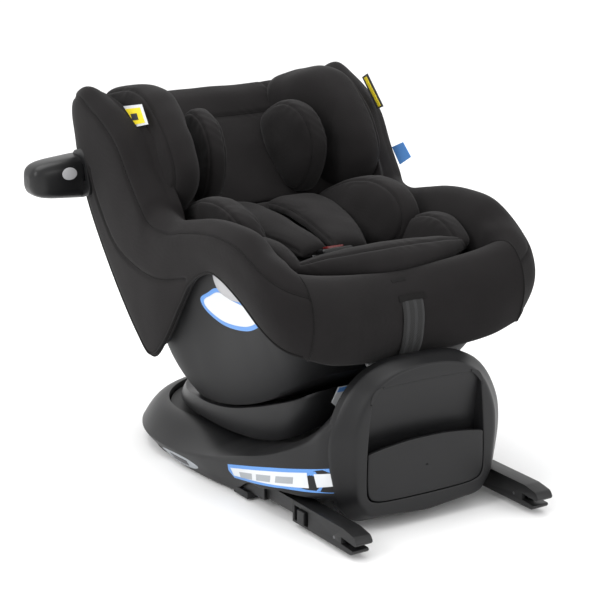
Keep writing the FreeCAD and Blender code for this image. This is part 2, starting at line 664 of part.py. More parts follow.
doc.recompute()
broken = [o.Name for o in doc.Objects if "Invalid" in o.State or "Error" in o.State]
if broken:
    raise RuntimeError("objects that did not recompute: " + ", ".join(broken))
for part in nodes:
    if part.Shape.isNull() or not part.Shape.isValid() or not part.Shape.Solids:
        raise RuntimeError("no valid solid in " + part.Label)
os.makedirs("parts", exist_ok=True)
for part in nodes:
    part.Shape.exportStep("parts/" + part.Label + ".step")
    low = part.Shape.BoundBox
    print(f"{part.Label:26s} {part.Shape.Volume / 1000:8.1f} cm3  solids {len(part.Shape.Solids)}"
          f"  x {low.XMin:.0f}..{low.XMax:.0f}  y {low.YMin:.0f}..{low.YMax:.0f}"
          f"  z {low.ZMin:.0f}..{low.ZMax:.0f}")
print(len(nodes), "sub-parts")
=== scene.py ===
import json
import math

import bmesh
import bpy
import numpy as np
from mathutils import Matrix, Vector
from mathutils.bvhtree import BVHTree


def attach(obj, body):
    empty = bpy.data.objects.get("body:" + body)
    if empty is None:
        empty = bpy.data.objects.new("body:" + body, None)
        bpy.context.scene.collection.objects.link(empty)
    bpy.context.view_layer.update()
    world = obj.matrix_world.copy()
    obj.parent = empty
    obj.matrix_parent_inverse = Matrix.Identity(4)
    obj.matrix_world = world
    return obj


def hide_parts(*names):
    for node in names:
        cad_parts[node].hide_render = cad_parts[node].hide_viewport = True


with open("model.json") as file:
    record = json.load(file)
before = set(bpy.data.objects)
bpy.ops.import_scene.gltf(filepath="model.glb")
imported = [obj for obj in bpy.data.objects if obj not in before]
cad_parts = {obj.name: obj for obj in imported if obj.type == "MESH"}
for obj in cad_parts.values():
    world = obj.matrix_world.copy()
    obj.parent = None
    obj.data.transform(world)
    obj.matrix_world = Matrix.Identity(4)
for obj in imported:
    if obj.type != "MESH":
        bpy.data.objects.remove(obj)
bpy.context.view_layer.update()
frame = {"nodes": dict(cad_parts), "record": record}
scene = bpy.context.scene

# Measures are in mm in the shared frame; MM brings them to metres.
MM = 0.001
SIDES = (("right", -1), ("left", 1))
PIVOT_Y, PIVOT_Z = -30, 582        # centre of the recline arc
SEAT_LEAN = math.radians(-15)      # turn of the headrest's rails about X at rest
TUB_RADIUS = 490                   # from that centre to the floor of the seat's tub
CARRIAGE_RADIUS = 493.4            # from that centre to the top of the carriage
UPRIGHT_Z = 490                    # height of that centre in the unturned seat
BACK_LINE = (112, 268, 0.5774)     # depth of the unturned backrest at a height, and its slope
DECK_Z = 57.0                      # top of the base beside the turntable
OPENING = 129.5                    # radius of the turntable's opening in the base


def steps(full):
    return full


# ---------------------------------------------------------------- materials

def new_material(name, colour, roughness, metallic=0.0, sheen=0.0, specular=0.5):
    """A material whose fixed values sit on the shader itself."""
    material = bpy.data.materials.new(name)
    material.use_nodes = True
    for socket, value in (("Base Color", (*colour, 1)), ("Roughness", roughness),
                          ("Metallic", metallic), ("Sheen Weight", sheen),
                          ("Sheen Roughness", 0.45), ("Specular IOR Level", specular)):
        shader_of(material).inputs[socket].default_value = value
    return material


def shader_of(material):
    return material.node_tree.nodes["Principled BSDF"]


def link(material, source, output, target, entry):
    material.node_tree.links.new(source.outputs[output], target.inputs[entry])


def add(material, kind, source=None, output=None, entry="Vector", **values):
    """A new node with the given values, and a link into one of its inputs."""
    node = material.node_tree.nodes.new("ShaderNode" + kind)
    for socket, value in values.items():
        node.inputs[socket].default_value = value
    if source is not None:
        link(material, source, output, node, entry)
    return node


def coordinates(material, scale=(1, 1, 1), turn=(0, 0, 0)):
    """Object coordinates, scaled and turned."""
    return add(material, "Mapping", add(material, "TexCoord"), "Object", Scale=scale,
               Rotation=turn)


def noise(material, place, scale, detail=2.0, roughness=0.5):
    return add(material, "TexNoise", place, "Vector", Scale=scale, Detail=detail,
               Roughness=roughness)


def colour_range(material, source, output, dark, light, low=0.3, high=0.7):
    """A ramp between two colours."""
    ramp = add(material, "ValToRGB", source, output, "Fac")
    for element, position, colour in zip(ramp.color_ramp.elements, (low, high), (dark, light)):
        element.position = position
        element.color = (*colour, 1)
    return ramp


def rough_between(material, source, low, high):
    """Roughness that follows a texture."""
    node = add(material, "MapRange", source, "Fac", "Value", **{"To Min": low, "To Max": high})
    link(material, node, "Result", shader_of(material), "Roughness")


def bump(material, source, output, distance, strength, below=None):
    """A bump on the shader's normal, over another one if given."""
    node = add(material, "Bump", source, output, "Height", Distance=distance, Strength=strength)
    if below is not None:
        link(material, below, "Normal", node, "Normal")
    link(material, node, "Normal", shader_of(material), "Normal")
    return node


def maths(material, kind, first, first_out, second, second_out=None):
    node = add(material, "Math", first, first_out, 0)
    node.operation = kind
    if isinstance(second, (int, float)):
        node.inputs[1].default_value = second
    else:
        link(material, second, second_out, node, 1)
    return node


def knit(name, dark, light, pitch=0.0011, sheen=0.05):
    """Knitted cover fabric: fine loops, slight colour variation and a soft sheen."""
    material = new_material(name, dark, 0.88, sheen=sheen, specular=0.16)
    place = coordinates(material)
    broad = noise(material, place, 9, 4, 0.6)
    fine = noise(material, place, 900, 2, 0.6)
    blend = maths(material, "MULTIPLY", fine, "Fac", 0.5)
    mixed = maths(material, "ADD", broad, "Fac", blend, "Value")
    ramp = colour_range(material, mixed, "Value", dark, light, 0.45, 1.05)
    link(material, ramp, "Color", shader_of(material), "Base Color")
    rough_between(material, fine, 0.8, 0.96)
    loops = [add(material, "TexWave", coordinates(material, (1, 1, 1), turn), "Vector",
                 Scale=0.32 / pitch, Distortion=1.2, Detail=1)
             for turn in ((0, 0, 0.6), (0.5, 0.3, -0.7))]
    crossed = maths(material, "MULTIPLY", loops[0], "Fac", loops[1], "Fac")
    height = maths(material, "ADD", crossed, "Value", fine, "Fac")
    weave = bump(material, height, "Value", 0.00022, 0.5)
    bump(material, noise(material, place, 45, 3, 0.55), "Fac", 0.0009, 0.35, weave)
    return material


def moulded(name, dark, light, roughness, grain=1500, depth=0.00006, specular=0.5):
    """Moulded plastic with a fine spark-eroded grain and slightly uneven gloss."""
    material = new_material(name, dark, roughness, specular=specular)
    place = coordinates(material)
    broad = noise(material, place, 6, 5, 0.6)
    ramp = colour_range(material, broad, "Fac", dark, light)
    link(material, ramp, "Color", shader_of(material), "Base Color")
    rough_between(material, broad, roughness - 0.05, roughness + 0.07)
    bump(material, noise(material, place, grain, 3, 0.6), "Fac", depth, 0.6)
    return material


def worn_metal(name, colour, roughness, metallic=1.0):
    """Metal with fine lengthwise brushing."""
    material = new_material(name, colour, roughness, metallic=metallic)
    lines = noise(material, coordinates(material, (1, 0.05, 1)), 900, 3, 0.6)
    rough_between(material, lines, roughness - 0.08, roughness + 0.12)
    bump(material, lines, "Fac", 0.00003, 0.4)
    return material


STRIPE_PITCH = 0.0118


def webbing_material(name, dark, light, stripes=False):
    """Woven webbing with diagonal ribs, and if asked with paler stripes along it."""
    material = new_material(name, dark, 0.7, sheen=0.15, specular=0.35)
    place = coordinates(material)
    wave = add(material, "TexWave", place, "Vector", Scale=260, Distortion=0.6)
    wave.wave_type = "BANDS"
    wave.bands_direction = "DIAGONAL"
    colour, output = colour_range(material, wave, "Fac", dark, light, 0.1, 0.9), "Color"
    if stripes:
        bands = add(material, "TexWave", place, "Vector", Scale=0.3142 / STRIPE_PITCH,
                    **{"Phase Offset": 1.57})
        bands.bands_direction = "X"
        line = colour_range(material, bands, "Fac", (0, 0, 0), (1, 1, 1), 0.55, 0.8)
        mix = material.node_tree.nodes.new("ShaderNodeMix")
        mix.data_type = "RGBA"
        link(material, line, "Color", mix, 0)
        link(material, colour, "Color", mix, 6)
        mix.inputs[7].default_value = (0.017, 0.017, 0.018, 1)
        colour, output = mix, 2
    link(material, colour, output, shader_of(material), "Base Color")
    bump(material, wave, "Fac", 0.0003, 0.6)
    return material


COVER = knit("cover_knit", (0.0058, 0.0050, 0.0052), (0.0105, 0.0093, 0.0095))
INSERT = knit("insert_knit", (0.0064, 0.0056, 0.0058), (0.0115, 0.0102, 0.0104), 0.0009, 0.06)
THREAD = knit("seam_thread", (0.004, 0.0036, 0.0036), (0.007, 0.0064, 0.0064), 0.0006)
SHELL = moulded("shell_plastic", (0.0058, 0.0058, 0.0063), (0.0082, 0.0082, 0.0088), 0.5,
                specular=0.24)
BASE = moulded("base_plastic", (0.0068, 0.0068, 0.0074), (0.0094, 0.0094, 0.0101), 0.4,
               specular=0.3)
TRIM = moulded("trim_plastic", (0.0042, 0.0042, 0.0046), (0.0064, 0.0064, 0.0068), 0.34,
               specular=0.35)
SILVER = moulded("silver_plastic", (0.34, 0.34, 0.35), (0.42, 0.42, 0.43), 0.34, 2500, 0.00003)
RED = moulded("red_plastic", (0.05, 0.004, 0.005), (0.14, 0.006, 0.007), 0.3, 2500, 0.00002)
RUBBER = moulded("rubber_black", (0.014, 0.014, 0.014), (0.02, 0.02, 0.02), 0.75, 700, 0.0001)
STEEL_DARK = worn_metal("coated_steel", (0.012, 0.012, 0.0125), 0.42, 0.35)
STEEL = worn_metal("zinc_steel", (0.16, 0.16, 0.165), 0.32)
WEBBING = webbing_material("webbing", (0.016, 0.015, 0.015), (0.034, 0.032, 0.032))
STRIPED = webbing_material("striped_webbing", (0.0045, 0.0045, 0.0046),
                           (0.0085, 0.0085, 0.0088), True)


def printed(name, dark, light, roughness=0.45):
    return moulded(name, dark, light, roughness, 2500, 0.00001)


LABEL = printed("label_white", (0.62, 0.64, 0.66), (0.7, 0.72, 0.74), 0.4)
LABEL_BLUE = printed("label_blue", (0.09, 0.25, 0.60), (0.11, 0.29, 0.66), 0.4)
LABEL_YELLOW = printed("label_yellow", (0.75, 0.60, 0.02), (0.85, 0.68, 0.03), 0.5)
LABEL_DARK = printed("label_dark", (0.03, 0.03, 0.035), (0.05, 0.05, 0.055))
LABEL_GREY = printed("label_grey", (0.30, 0.32, 0.34), (0.36, 0.38, 0.4))

FINISH = {"shell_plastic": SHELL, "trim_plastic": TRIM, "silver_plastic": SILVER,
          "red_plastic": RED, "rubber": RUBBER, "steel_dark": STEEL_DARK, "steel": STEEL,
          "cover_fabric": COVER, "insert_fabric": INSERT, "webbing": WEBBING}


def paint(obj, material):
    obj.data.materials.clear()
    obj.data.materials.append(material)


def finish(obj, body, material, nodes):
    """A piece's material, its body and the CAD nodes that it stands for."""
    paint(obj, material)
    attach(obj, body)
    if nodes:
        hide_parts(*nodes)


for entry in frame["record"]["subparts"]:
    paint(frame["nodes"][entry["node"]], FINISH[entry["material_slot"]])


# ---------------------------------------------------------------- mesh helpers

def smooth_line(points, count, closed=False):
    """Evenly spaced parameters on a Catmull-Rom curve through the first axis of points."""
    p = np.asarray(points, float)
    if closed:
        p = np.concatenate([p[-1:], p, p[:2]])
    else:
        p = np.concatenate([2 * p[:1] - p[1:2], p, 2 * p[-1:] - p[-2:-1]])
    spans = len(p) - 3
    t = np.linspace(0, spans, count, endpoint=not closed)
    i = np.minimum(t.astype(int), spans - 1)
    f = (t - i).reshape((-1,) + (1,) * (p.ndim - 1))
    a, b, c, d = p[i], p[i + 1], p[i + 2], p[i + 3]
    return 0.5 * (2 * b + (c - a) * f + (2 * a - 5 * b + 4 * c - d) * f ** 2
                  + (3 * b - a - 3 * c + d) * f ** 3)


def mesh_object(name, vertices, faces, smooth=True):
    """A new object from points in metres."""
    data = bpy.data.meshes.new(name)
    data.from_pydata([tuple(v) for v in vertices], [], faces)
    data.validate()
    data.update()
    obj = bpy.data.objects.new(name, data)
    scene.collection.objects.link(obj)
    data.polygons.foreach_set("use_smooth", [smooth] * len(data.polygons))
    return obj


def ring_faces(rows, count, ends=True):
    """Quads between rings of count points, and a face across each end."""
    faces = [(i * count + j, i * count + (j + 1) % count, (i + 1) * count + (j + 1) % count,
              (i + 1) * count + j) for i in range(rows - 1) for j in range(count)]
    if ends:
        faces.append(tuple(range(count))[::-1])
        faces.append(tuple((rows - 1) * count + j for j in range(count)))
    return faces


def tube(name, rings):
    """A closed surface through rings of points in metres."""
    obj = mesh_object(name, rings.reshape(-1, 3), ring_faces(*rings.shape[:2]))
    edit(obj)
    return obj


def skin(name, stations, along, around):
    """A closed smooth surface through rings of points in mm, and the net of its points."""
    net = smooth_line(stations, steps(along))
    net = np.swapaxes(smooth_line(np.swapaxes(net, 0, 1), steps(around), True), 0, 1) * MM
    return tube(name, net), net


def edit(obj, merge=None, dissolve=None, turn=True):
    """Points nearer than merge (metres) made one, faces flatter than dissolve (degrees) joined,
    and faces turned outwards."""
    bm = bmesh.new()
    bm.from_mesh(obj.data)
    if merge:
        bmesh.ops.remove_doubles(bm, verts=bm.verts, dist=merge)
    if dissolve:
        bmesh.ops.dissolve_limit(bm, angle_limit=math.radians(dissolve), verts=bm.verts,
                                 edges=bm.edges)
    if turn:
        bmesh.ops.recalc_face_normals(bm, faces=bm.faces)
    bm.to_mesh(obj.data)
    bm.free()


def all_smooth(data):
    data.polygons.foreach_set("use_smooth", [True] * len(data.polygons))


def turns(count):
    """Evenly spaced angles of a full turn."""
    return np.linspace(0, 2 * math.pi, count, endpoint=False)


def read(obj, what="co"):
    """The points of a mesh, or its normals, as an array."""
    data = obj.data
    flat = np.empty(len(data.vertices) * 3)
    if what == "co":
        data.vertices.foreach_get("co", flat)
    else:
        data.vertex_normals.foreach_get("vector", flat)
    return flat.reshape(-1, 3)


def write(obj, points):
    obj.data.vertices.foreach_set("co", np.ascontiguousarray(points).ravel())
    obj.data.update()


def groove(obj, distance, width=2.6, depth=1.5):
    """A sewn channel where distance(points in mm) is near zero."""
    points = read(obj) / MM
    pull = depth * np.exp(-(distance(points) / width) ** 2)
    write(obj, (points - read(obj, "normal") * pull[:, None]) * MM)


def line_distance(points, line):
    """Distance from each 2-D point to a 2-D polyline."""
    line = np.asarray(line, float)
    best = np.full(len(points), 1e9)
    for a, b in zip(line, line[1:]):
        along = b - a
        t = np.clip(((points - a) @ along) / (along @ along), 0, 1)
        best = np.minimum(best, np.linalg.norm(points - a - t[:, None] * along, axis=1))
    return best


def near_line(points, line):
    """Distance from each 3-D point to the nearest point of a dense line."""
    best = np.full(len(points), 1e9)
    for a in line:
        best = np.minimum(best, np.linalg.norm(points - a, axis=1))
    return best


def surface_of(obj):
    """A tree for finding points on a mesh."""
    return BVHTree.FromPolygons([v.co for v in obj.data.vertices],
                                [p.vertices for p in obj.data.polygons])


def thread(name, lines, body, radius=0.55):
    """Thin sewn lines, each a list of points in metres, as one mesh."""
    curve = bpy.data.curves.new(name, "CURVE")
    curve.dimensions = "3D"
    curve.bevel_depth = radius * MM
    curve.bevel_resolution = 1
    for line in lines:
        spline = curve.splines.new("POLY")
        spline.points.add(len(line) - 1)
        for point, co in zip(spline.points, line):
            point.co = (*co, 1)
    holder = bpy.data.objects.new(name + "_line", curve)
    scene.collection.objects.link(holder)
    graph = bpy.context.evaluated_depsgraph_get()
    data = bpy.data.meshes.new_from_object(holder.evaluated_get(graph))
    bpy.data.objects.remove(holder)
    obj = bpy.data.objects.new(name, data)
    scene.collection.objects.link(obj)
    all_smooth(data)
    finish(obj, body, THREAD, None)


def node_copy(name, node):
    """A new object with a copy of a CAD node's mesh, merged where its faces meet."""
    obj = bpy.data.objects.new(name, frame["nodes"][node].data.copy())
    scene.collection.objects.link(obj)
    edit(obj, 1e-6, 0.5, False)
    return obj


def apply_modifiers(obj):
    graph = bpy.context.evaluated_depsgraph_get()
    data = bpy.data.meshes.new_from_object(obj.evaluated_get(graph))
    obj.modifiers.clear()
    obj.data = data


def shade(obj, angle):
    """Smooth shading, with edges sharper than the angle kept."""
    all_smooth(obj.data)
    obj.data.set_sharp_from_angle(angle=math.radians(angle))


def machined(node, body, material, width):
    """A CAD piece with the small rounded edges that a moulding has."""
    obj = node_copy(node + "_form", node)
    bevel = obj.modifiers.new("edges", "BEVEL")
    bevel.width = width * MM
    bevel.segments = 3
    bevel.limit_method = "ANGLE"
    bevel.angle_limit = math.radians(32)
    bevel.use_clamp_overlap = True
    apply_modifiers(obj)
    shade(obj, 50)
    finish(obj, body, material, [node])


def finish_soft(obj, body, material, nodes):
    finish(obj, body, material, nodes)


# ---------------------------------------------------------------- side covers

# Each station runs from the hem over the outside, the rim and the inside, as (x, y, z) in mm
# for the child's left; the right side is its mirror image.
SIDE_STATIONS = [
    [(160, -372, 240), (160, -381, 236), (160, -391, 262), (160, -393, 288), (160, -385, 314),
     (160, -366, 333), (156, -344, 336), (151, -325, 322), (151, -330, 262)],
    [(176, -356, 250), (184, -362, 247), (190, -374, 272), (191, -377, 298), (187, -368, 325),
     (178, -350, 345), (164, -334, 347), (152, -318, 334), (151, -322, 275)],
    [(188, -330, 267), (197, -336, 265), (204, -343, 290), (205, -344, 315), (201, -337, 340),
     (187, -322, 357), (168, -312, 356), (153, -302, 340), (151, -308, 285)],
    [(188, -282, 296), (200, -284, 294), (207, -286, 315), (208, -287, 336), (205, -287, 361),
     (188, -285, 377), (168, -283, 372), (154, -280, 348), (151, -282, 308)],
    [(188, -235, 315), (201, -235, 312), (207, -236, 328), (208, -237, 346), (205, -237, 365),
     (188, -236, 380), (168, -236, 374), (154, -236, 348), (151, -236, 318)],
    [(188, -203, 315), (201, -203, 311), (207, -198, 328), (208, -195, 345), (205, -192, 361),
     (188, -190, 376), (168, -190, 370), (154, -190, 343), (151, -196, 316)],
    [(187, -160, 292), (200, -160, 287), (206, -155, 311), (208, -150, 334), (205, -146, 352),
     (188, -144, 366), (168, -146, 360), (154, -150, 334), (151, -156, 298)],
    [(186, -128, 258), (199, -131, 253), (206, -122, 290), (209, -115, 322), (206, -108, 343),
     (189, -100, 357), (169, -104, 352), (154, -112, 326), (151, -122, 270)],
    [(185, -78, 196), (198, -82, 190), (207, -74, 240), (211, -66, 300), (208, -64, 346),
     (190, -63, 363), (170, -68, 358), (155, -78, 332), (151, -84, 240)],
    [(180, -36, 166), (196, -40, 160), (207, -32, 230), (213, -34, 310), (211, -44, 364),
     (193, -46, 382), (173, -54, 378), (157, -68, 350), (151, -38, 200)],
    [(182, -2, 196), (199, -8, 184), (209, -2, 250), (215, -2, 335), (213, -18, 396),
     (196, -22, 412), (177, -30, 408), (161, -46, 384), (151, 0, 215)],
    [(184, 44, 246), (202, 41, 238), (212, 42, 300), (218, 32, 382), (216, 12, 438),
     (200, 6, 454), (181, -2, 452), (165, -14, 430), (151, 46, 262)],
    [(186, 92, 318), (206, 91, 308), (215, 82, 358), (220, 68, 424), (218, 48, 464),
     (203, 42, 478), (185, 34, 474), (171, 24, 456), (153, 96, 330)],
    [(190, 120, 366), (208, 119, 357), (217, 111, 400), (221, 100, 448), (219, 84, 480),
     (205, 82, 495), (188, 77, 491), (175, 68, 474), (158, 122, 376)],
    [(193, 137, 410), (209, 136, 402), (216, 131, 434), (220, 124, 468), (218, 113, 491),
     (206, 112, 504), (192, 110, 500), (181, 104, 484), (166, 138, 418)],
    [(197, 147, 444), (208, 147, 437), (213, 146, 454), (215, 142, 474), (213, 137, 488),
     (206, 137, 496), (196, 137, 494), (188, 136, 484), (180, 148, 446)],
    [(201, 152, 458), (207, 152, 454), (209, 151, 463), (210, 149, 473), (209, 146, 480),
     (206, 146, 483), (201, 146, 481), (197, 147, 475), (193, 152, 459)],
]
SIDE_SEAM = [(88, 398), (82, 373), (60, 335), (25, 300), (-30, 281), (-86, 277), (-150, 291)]


def side_cover(side, sign):
    """The fitted cover of one side of the seat, with its rim seam and its curved side seam."""
    stations = [[(sign * x, y, z) for x, y, z in ring] for ring in SIDE_STATIONS]
    obj, net = skin(f"side_cover_{side}", stations, 241, 216)
    along, around = net.shape[:2]

    def on_seam(points):
        d = line_distance(points[:, 1:], smooth_line(SIDE_SEAM, 60))
        return np.where(points[:, 0] * sign > 193, d, 1e6)
    groove(obj, on_seam, 3.0, 2.0)
    # The rings have 9 points: 1 is the hem and 4 the rim.
    rim_row = int(round(around * 4 / 9))
    rim = net[:, rim_row] / MM
    groove(obj, lambda points: near_line(points, rim[::2]), 3.4, 1.9)
    lines = [[Vector(p) for p in read(obj)[rim_row:along * around:around]]]
    tree = surface_of(obj)
    curve = []
    for y, z in smooth_line(SIDE_SEAM, 120):
        hit = tree.ray_cast(Vector((sign * 0.4, y * MM, z * MM)), Vector((-sign, 0, 0)))[0]
        if hit is not None:
            curve.append(hit)
    lines.append(curve)
    thread(f"side_cover_{side}_stitching", lines, "seat", 0.55)
    finish_soft(obj, "seat", COVER, [f"side_bolster_{side}"])
    hem = read(obj)[int(round(around / 9)):along * around:around]
    thread(f"side_cover_{side}_binding", [[Vector(p) for p in hem[4:-6]]], "seat", 2.0)


for side, sign in SIDES:
    side_cover(side, sign)


# ---------------------------------------------------------------- front apron

def apron():
    """The front of the cover, between the two front seams."""
    half = [
        (0, [(-338, 210), (-352, 206), (-369, 230), (-373, 262), (-367, 292), (-347, 314),
             (-325, 313), (-296, 298), (-300, 270), (-345, 240)]),
        (60, [(-346, 214), (-362, 210), (-377, 236), (-380, 268), (-372, 297), (-353, 318),
              (-330, 317), (-300, 300), (-304, 272), (-352, 244)]),
        (120, [(-362, 226), (-376, 221), (-388, 248), (-390, 277), (-381, 306), (-362, 326),
               (-338, 326), (-310, 308), (-314, 280), (-366, 256)]),
        (160.5, [(-372, 240), (-381, 236), (-391, 262), (-393, 288), (-385, 314), (-366, 333),
                 (-344, 336), (-322, 322), (-326, 292), (-374, 262)])]
    stations = [[(-x, y, z) for y, z in ring] for x, ring in reversed(half)]
    stations += [[(x, y, z) for y, z in ring] for x, ring in half[1:]]
    obj, net = skin("front_cover", stations, 181, 150)
    finish_soft(obj, "seat", COVER, ["front_apron"])
    for side, sign in SIDES:
        seam_line = net[0 if sign < 0 else -1]
        rows = seam_line[5: int(len(seam_line) * 0.72)]
        thread(f"front_seam_{side}", [[Vector(p) for p in rows]], "seat", 1.1)
    return obj


front_cover = apron()

# ---------------------------------------------------------------- stuffed pieces

def seat_point(x, y, z):
    """A point of the unturned seat, where the leaning seat has it."""
    low = z - UPRIGHT_Z
    return (x, PIVOT_Y + y * math.cos(SEAT_LEAN) - low * math.sin(SEAT_LEAN),
            PIVOT_Z + y * math.sin(SEAT_LEAN) + low * math.cos(SEAT_LEAN))


def even_ring(points, count):
    """A closed smooth outline with evenly spaced points."""
    dense = smooth_line(points, 800, True)
    loop = np.concatenate([dense, dense[:1]])
    length = np.concatenate([[0], np.cumsum(np.linalg.norm(np.diff(loop, axis=0), axis=1))])
    at = np.linspace(0, length[-1], count, endpoint=False)
    return np.stack([np.interp(at, length, loop[:, k]) for k in range(loop.shape[1])], 1)


def soften(obj, amount, length, seed):
    """Low swells over a stuffed surface."""
    rng = np.random.default_rng(seed)
    points = read(obj) / MM
    total = np.zeros(len(points))
    for _ in range(9):
        wave = rng.normal(size=3)
        wave *= 2 * math.pi / (length * rng.uniform(0.6, 1.6)) / np.linalg.norm(wave)
        total += np.sin(points @ wave + rng.uniform(0, 6.28))
    write(obj, (points + read(obj, "normal") * (total * amount / 3)[:, None]) * MM)


def sewn(obj, line, body, name, width=2.8, depth=1.8):
    """A sewn channel along a line in mm, with uneven puckers on both sides and its thread."""
    points = read(obj) / MM
    d = near_line(points, line)
    pucker = (np.sin(points @ (0.31, 0.24, 0.27) + 2.6 * np.sin(points @ (0.083, -0.071, 0.094)))
              * (0.5 + 0.5 * np.sin(points @ (0.037, 0.051, -0.044))))
    pull = depth * np.exp(-(d / width) ** 2) + 0.28 * pucker * np.exp(-((d - 6) / 6) ** 2)
    write(obj, (points - read(obj, "normal") * pull[:, None]) * MM)
    tree = surface_of(obj)
    laid = [tree.find_nearest(Vector(p) * MM)[0] for p in line]
    thread(name, [laid], body, 0.5)


# Across a cushion from the middle of one face to the middle of the other: share of the outline,
# share of the half thickness.
CUSHION = [(0.03, 1.34), (0.4, 1.3), (0.66, 1.19), (0.83, 1.0), (0.93, 0.78), (0.985, 0.42),
           (1.0, 0.0), (0.985, -0.42), (0.93, -0.74), (0.83, -0.92), (0.5, -1.05), (0.03, -1.1)]


def pillow(name, outline, middle, place, thick, body, material, nodes, seam_at=(0.93, 0.78),
           profile=CUSHION, swell=0.7, seed=1, back_seam=None):
    """A crowned cushion on an outline, with its panels sewn together round the edge."""
    count = steps(240)
    ring = even_ring(outline, count)
    middle = np.asarray(middle, float)
    share = smooth_line(profile, steps(91))
    net = []
    for s, h in share:
        flat = middle + (ring - middle) * s
        net.append(np.stack(place(flat[:, 0], flat[:, 1], np.full(count, h * thick)), 1))
    net = np.array(net)
    obj = tube(name, net * MM)
    soften(obj, swell, 55, seed)
    for number, spot in enumerate([seam_at, back_seam]):
        if spot:
            row = int(np.argmin(np.linalg.norm(share - np.array(spot), axis=1)))
            line = np.concatenate([net[row], net[row][:1]])
            sewn(obj, line, body, f"{name}_seam{number}")
    finish_soft(obj, body, material, nodes)


def swept(name, stations, along, around, body, nodes, seam_lines, swell, seed):
    """A crowned cushion through closed sections."""
    obj, net = skin(name, stations, along, around)
    soften(obj, swell, 60, seed)
    for number, line in enumerate(seam_lines):
        sewn(obj, smooth_line(line, steps(160)), body, f"{name}_seam{number}")
    finish_soft(obj, body, INSERT, nodes)


def stuffed_pad(node, stretch):
    """A CAD pad widened, remeshed, blown up as cloth and smoothed."""
    obj = node_copy(node + "_soft", node)
    write(obj, read(obj) * (stretch, 1, 1))
    remesh = obj.modifiers.new("remesh", "REMESH")
    remesh.mode = "VOXEL"
    remesh.voxel_size = 5 * MM
    apply_modifiers(obj)
    write(obj, read(obj) - read(obj, "normal") * 2 * MM)
    relax = obj.modifiers.new("relax", "SMOOTH")
    relax.factor = 0.5
    relax.iterations = 6
    apply_modifiers(obj)
    inflate(obj, 4 * MM)
    fine = obj.modifiers.new("fine", "SUBSURF")
    fine.levels = fine.render_levels = 1
    apply_modifiers(obj)
    all_smooth(obj.data)
    finish_soft(obj, "seat", COVER, [node])


def inflate(obj, furthest):
    """Twenty steps of cloth under pressure, in which no point goes further than given."""
    start = read(obj)
    cloth = obj.modifiers.new("cloth", "CLOTH")
    for key, value in dict(quality=4, mass=0.3, use_pressure=True, uniform_pressure_force=4,
                           tension_stiffness=12, compression_stiffness=12,
                           bending_stiffness=0.6).items():
        setattr(cloth.settings, key, value)
    cloth.settings.effector_weights.gravity = 0
    cloth.collision_settings.use_collision = False
    cloth.point_cache.frame_start = 1
    cloth.point_cache.frame_end = 20
    for number in range(1, 21):
        scene.frame_set(number)
    apply_modifiers(obj)
    scene.frame_set(1)
    moved = read(obj) - start
    length = np.linalg.norm(moved, axis=1, keepdims=True)
    write(obj, start + moved * np.minimum(1, furthest / np.maximum(length, 1e-9)))


# Outlines of the side pads, as (y, z).
WING = [(112, 500), (73, 508), (30, 505), (-6, 484), (-38, 454), (-59, 420), (-61, 388),
        (-42, 360), (-4, 342), (40, 342), (84, 380), (136, 436), (154, 466), (146, 488)]
WING_SHARE = [(0.03, -1.3), (0.4, -1.28), (0.66, -1.18), (0.84, -0.98), (0.95, -0.62), (1.0, -0.1),
              (0.99, 0.38), (0.94, 0.74), (0.84, 0.96), (0.5, 1.1), (0.03, 1.14)]
HEAD_PAD = [(64, 462), (30, 473), (-8, 461), (-31, 430), (-31, 390), (-10, 354), (22, 342),
            (56, 367), (84, 405), (93, 438)]
TORSO_PAD = [(4, 330), (-26, 356), (-78, 376), (-134, 381), (-180, 368), (-202, 340),
             (-194, 310), (-150, 290), (-90, 276), (-40, 290)]
HIP_PAD = [(-146, 296), (-172, 328), (-214, 350), (-256, 354), (-292, 342), (-306, 326),
           (-280, 310), (-210, 292)]

for side, sign in SIDES:
    def wing_place(u, v, w, sign=sign):
        back = np.clip((u + 10) / 130, 0, 1)
        return sign * (146 + w * np.where(w < 0, 1 + 1.0 * back, 1)), u, v

    def head_place(u, v, w, sign=sign):
        return sign * (77 - (u - 20) * 0.10 - w), u, v

    def torso_place(u, v, w, sign=sign):
        return sign * (117 - (u + 100) * 0.05 + (v - 340) * 0.2 - w), u, v

    def hip_place(u, v, w, sign=sign):
        return sign * (128 + (v - 320) * 0.20 - w), u, v

    pillow(f"headrest_wing_{side}_pad", WING, (34, 424), wing_place, 25, "headrest", COVER,
           [f"headrest_wing_{side}"], (0.94, 0.74), WING_SHARE, 0.9, 3 + sign)
    pillow(f"head_pad_{side}_pad", HEAD_PAD, (26, 412), head_place, 17, "headrest", INSERT,
           [f"head_pad_{side}"], seed=7 + sign, back_seam=(0.93, -0.74))
    pillow(f"torso_pad_{side}_pad", TORSO_PAD, (-100, 332), torso_place, 20, "seat", INSERT,
           [f"insert_torso_pad_{side}"], seed=11 + sign, back_seam=(0.93, -0.74))
    pillow(f"hip_pad_{side}_pad", HIP_PAD, (-226, 322), hip_place, 15, "seat", INSERT,
           [f"insert_hip_pad_{side}"], seed=15 + sign)


def headrest_line(x, z, out=0):
    """A point over the backrest's line, with the headrest's ends swept forwards."""
    depth, height, slope = BACK_LINE
    return seat_point(x, depth + slope * (z - height) + out - 22 * (abs(x) / 128) ** 3, z)


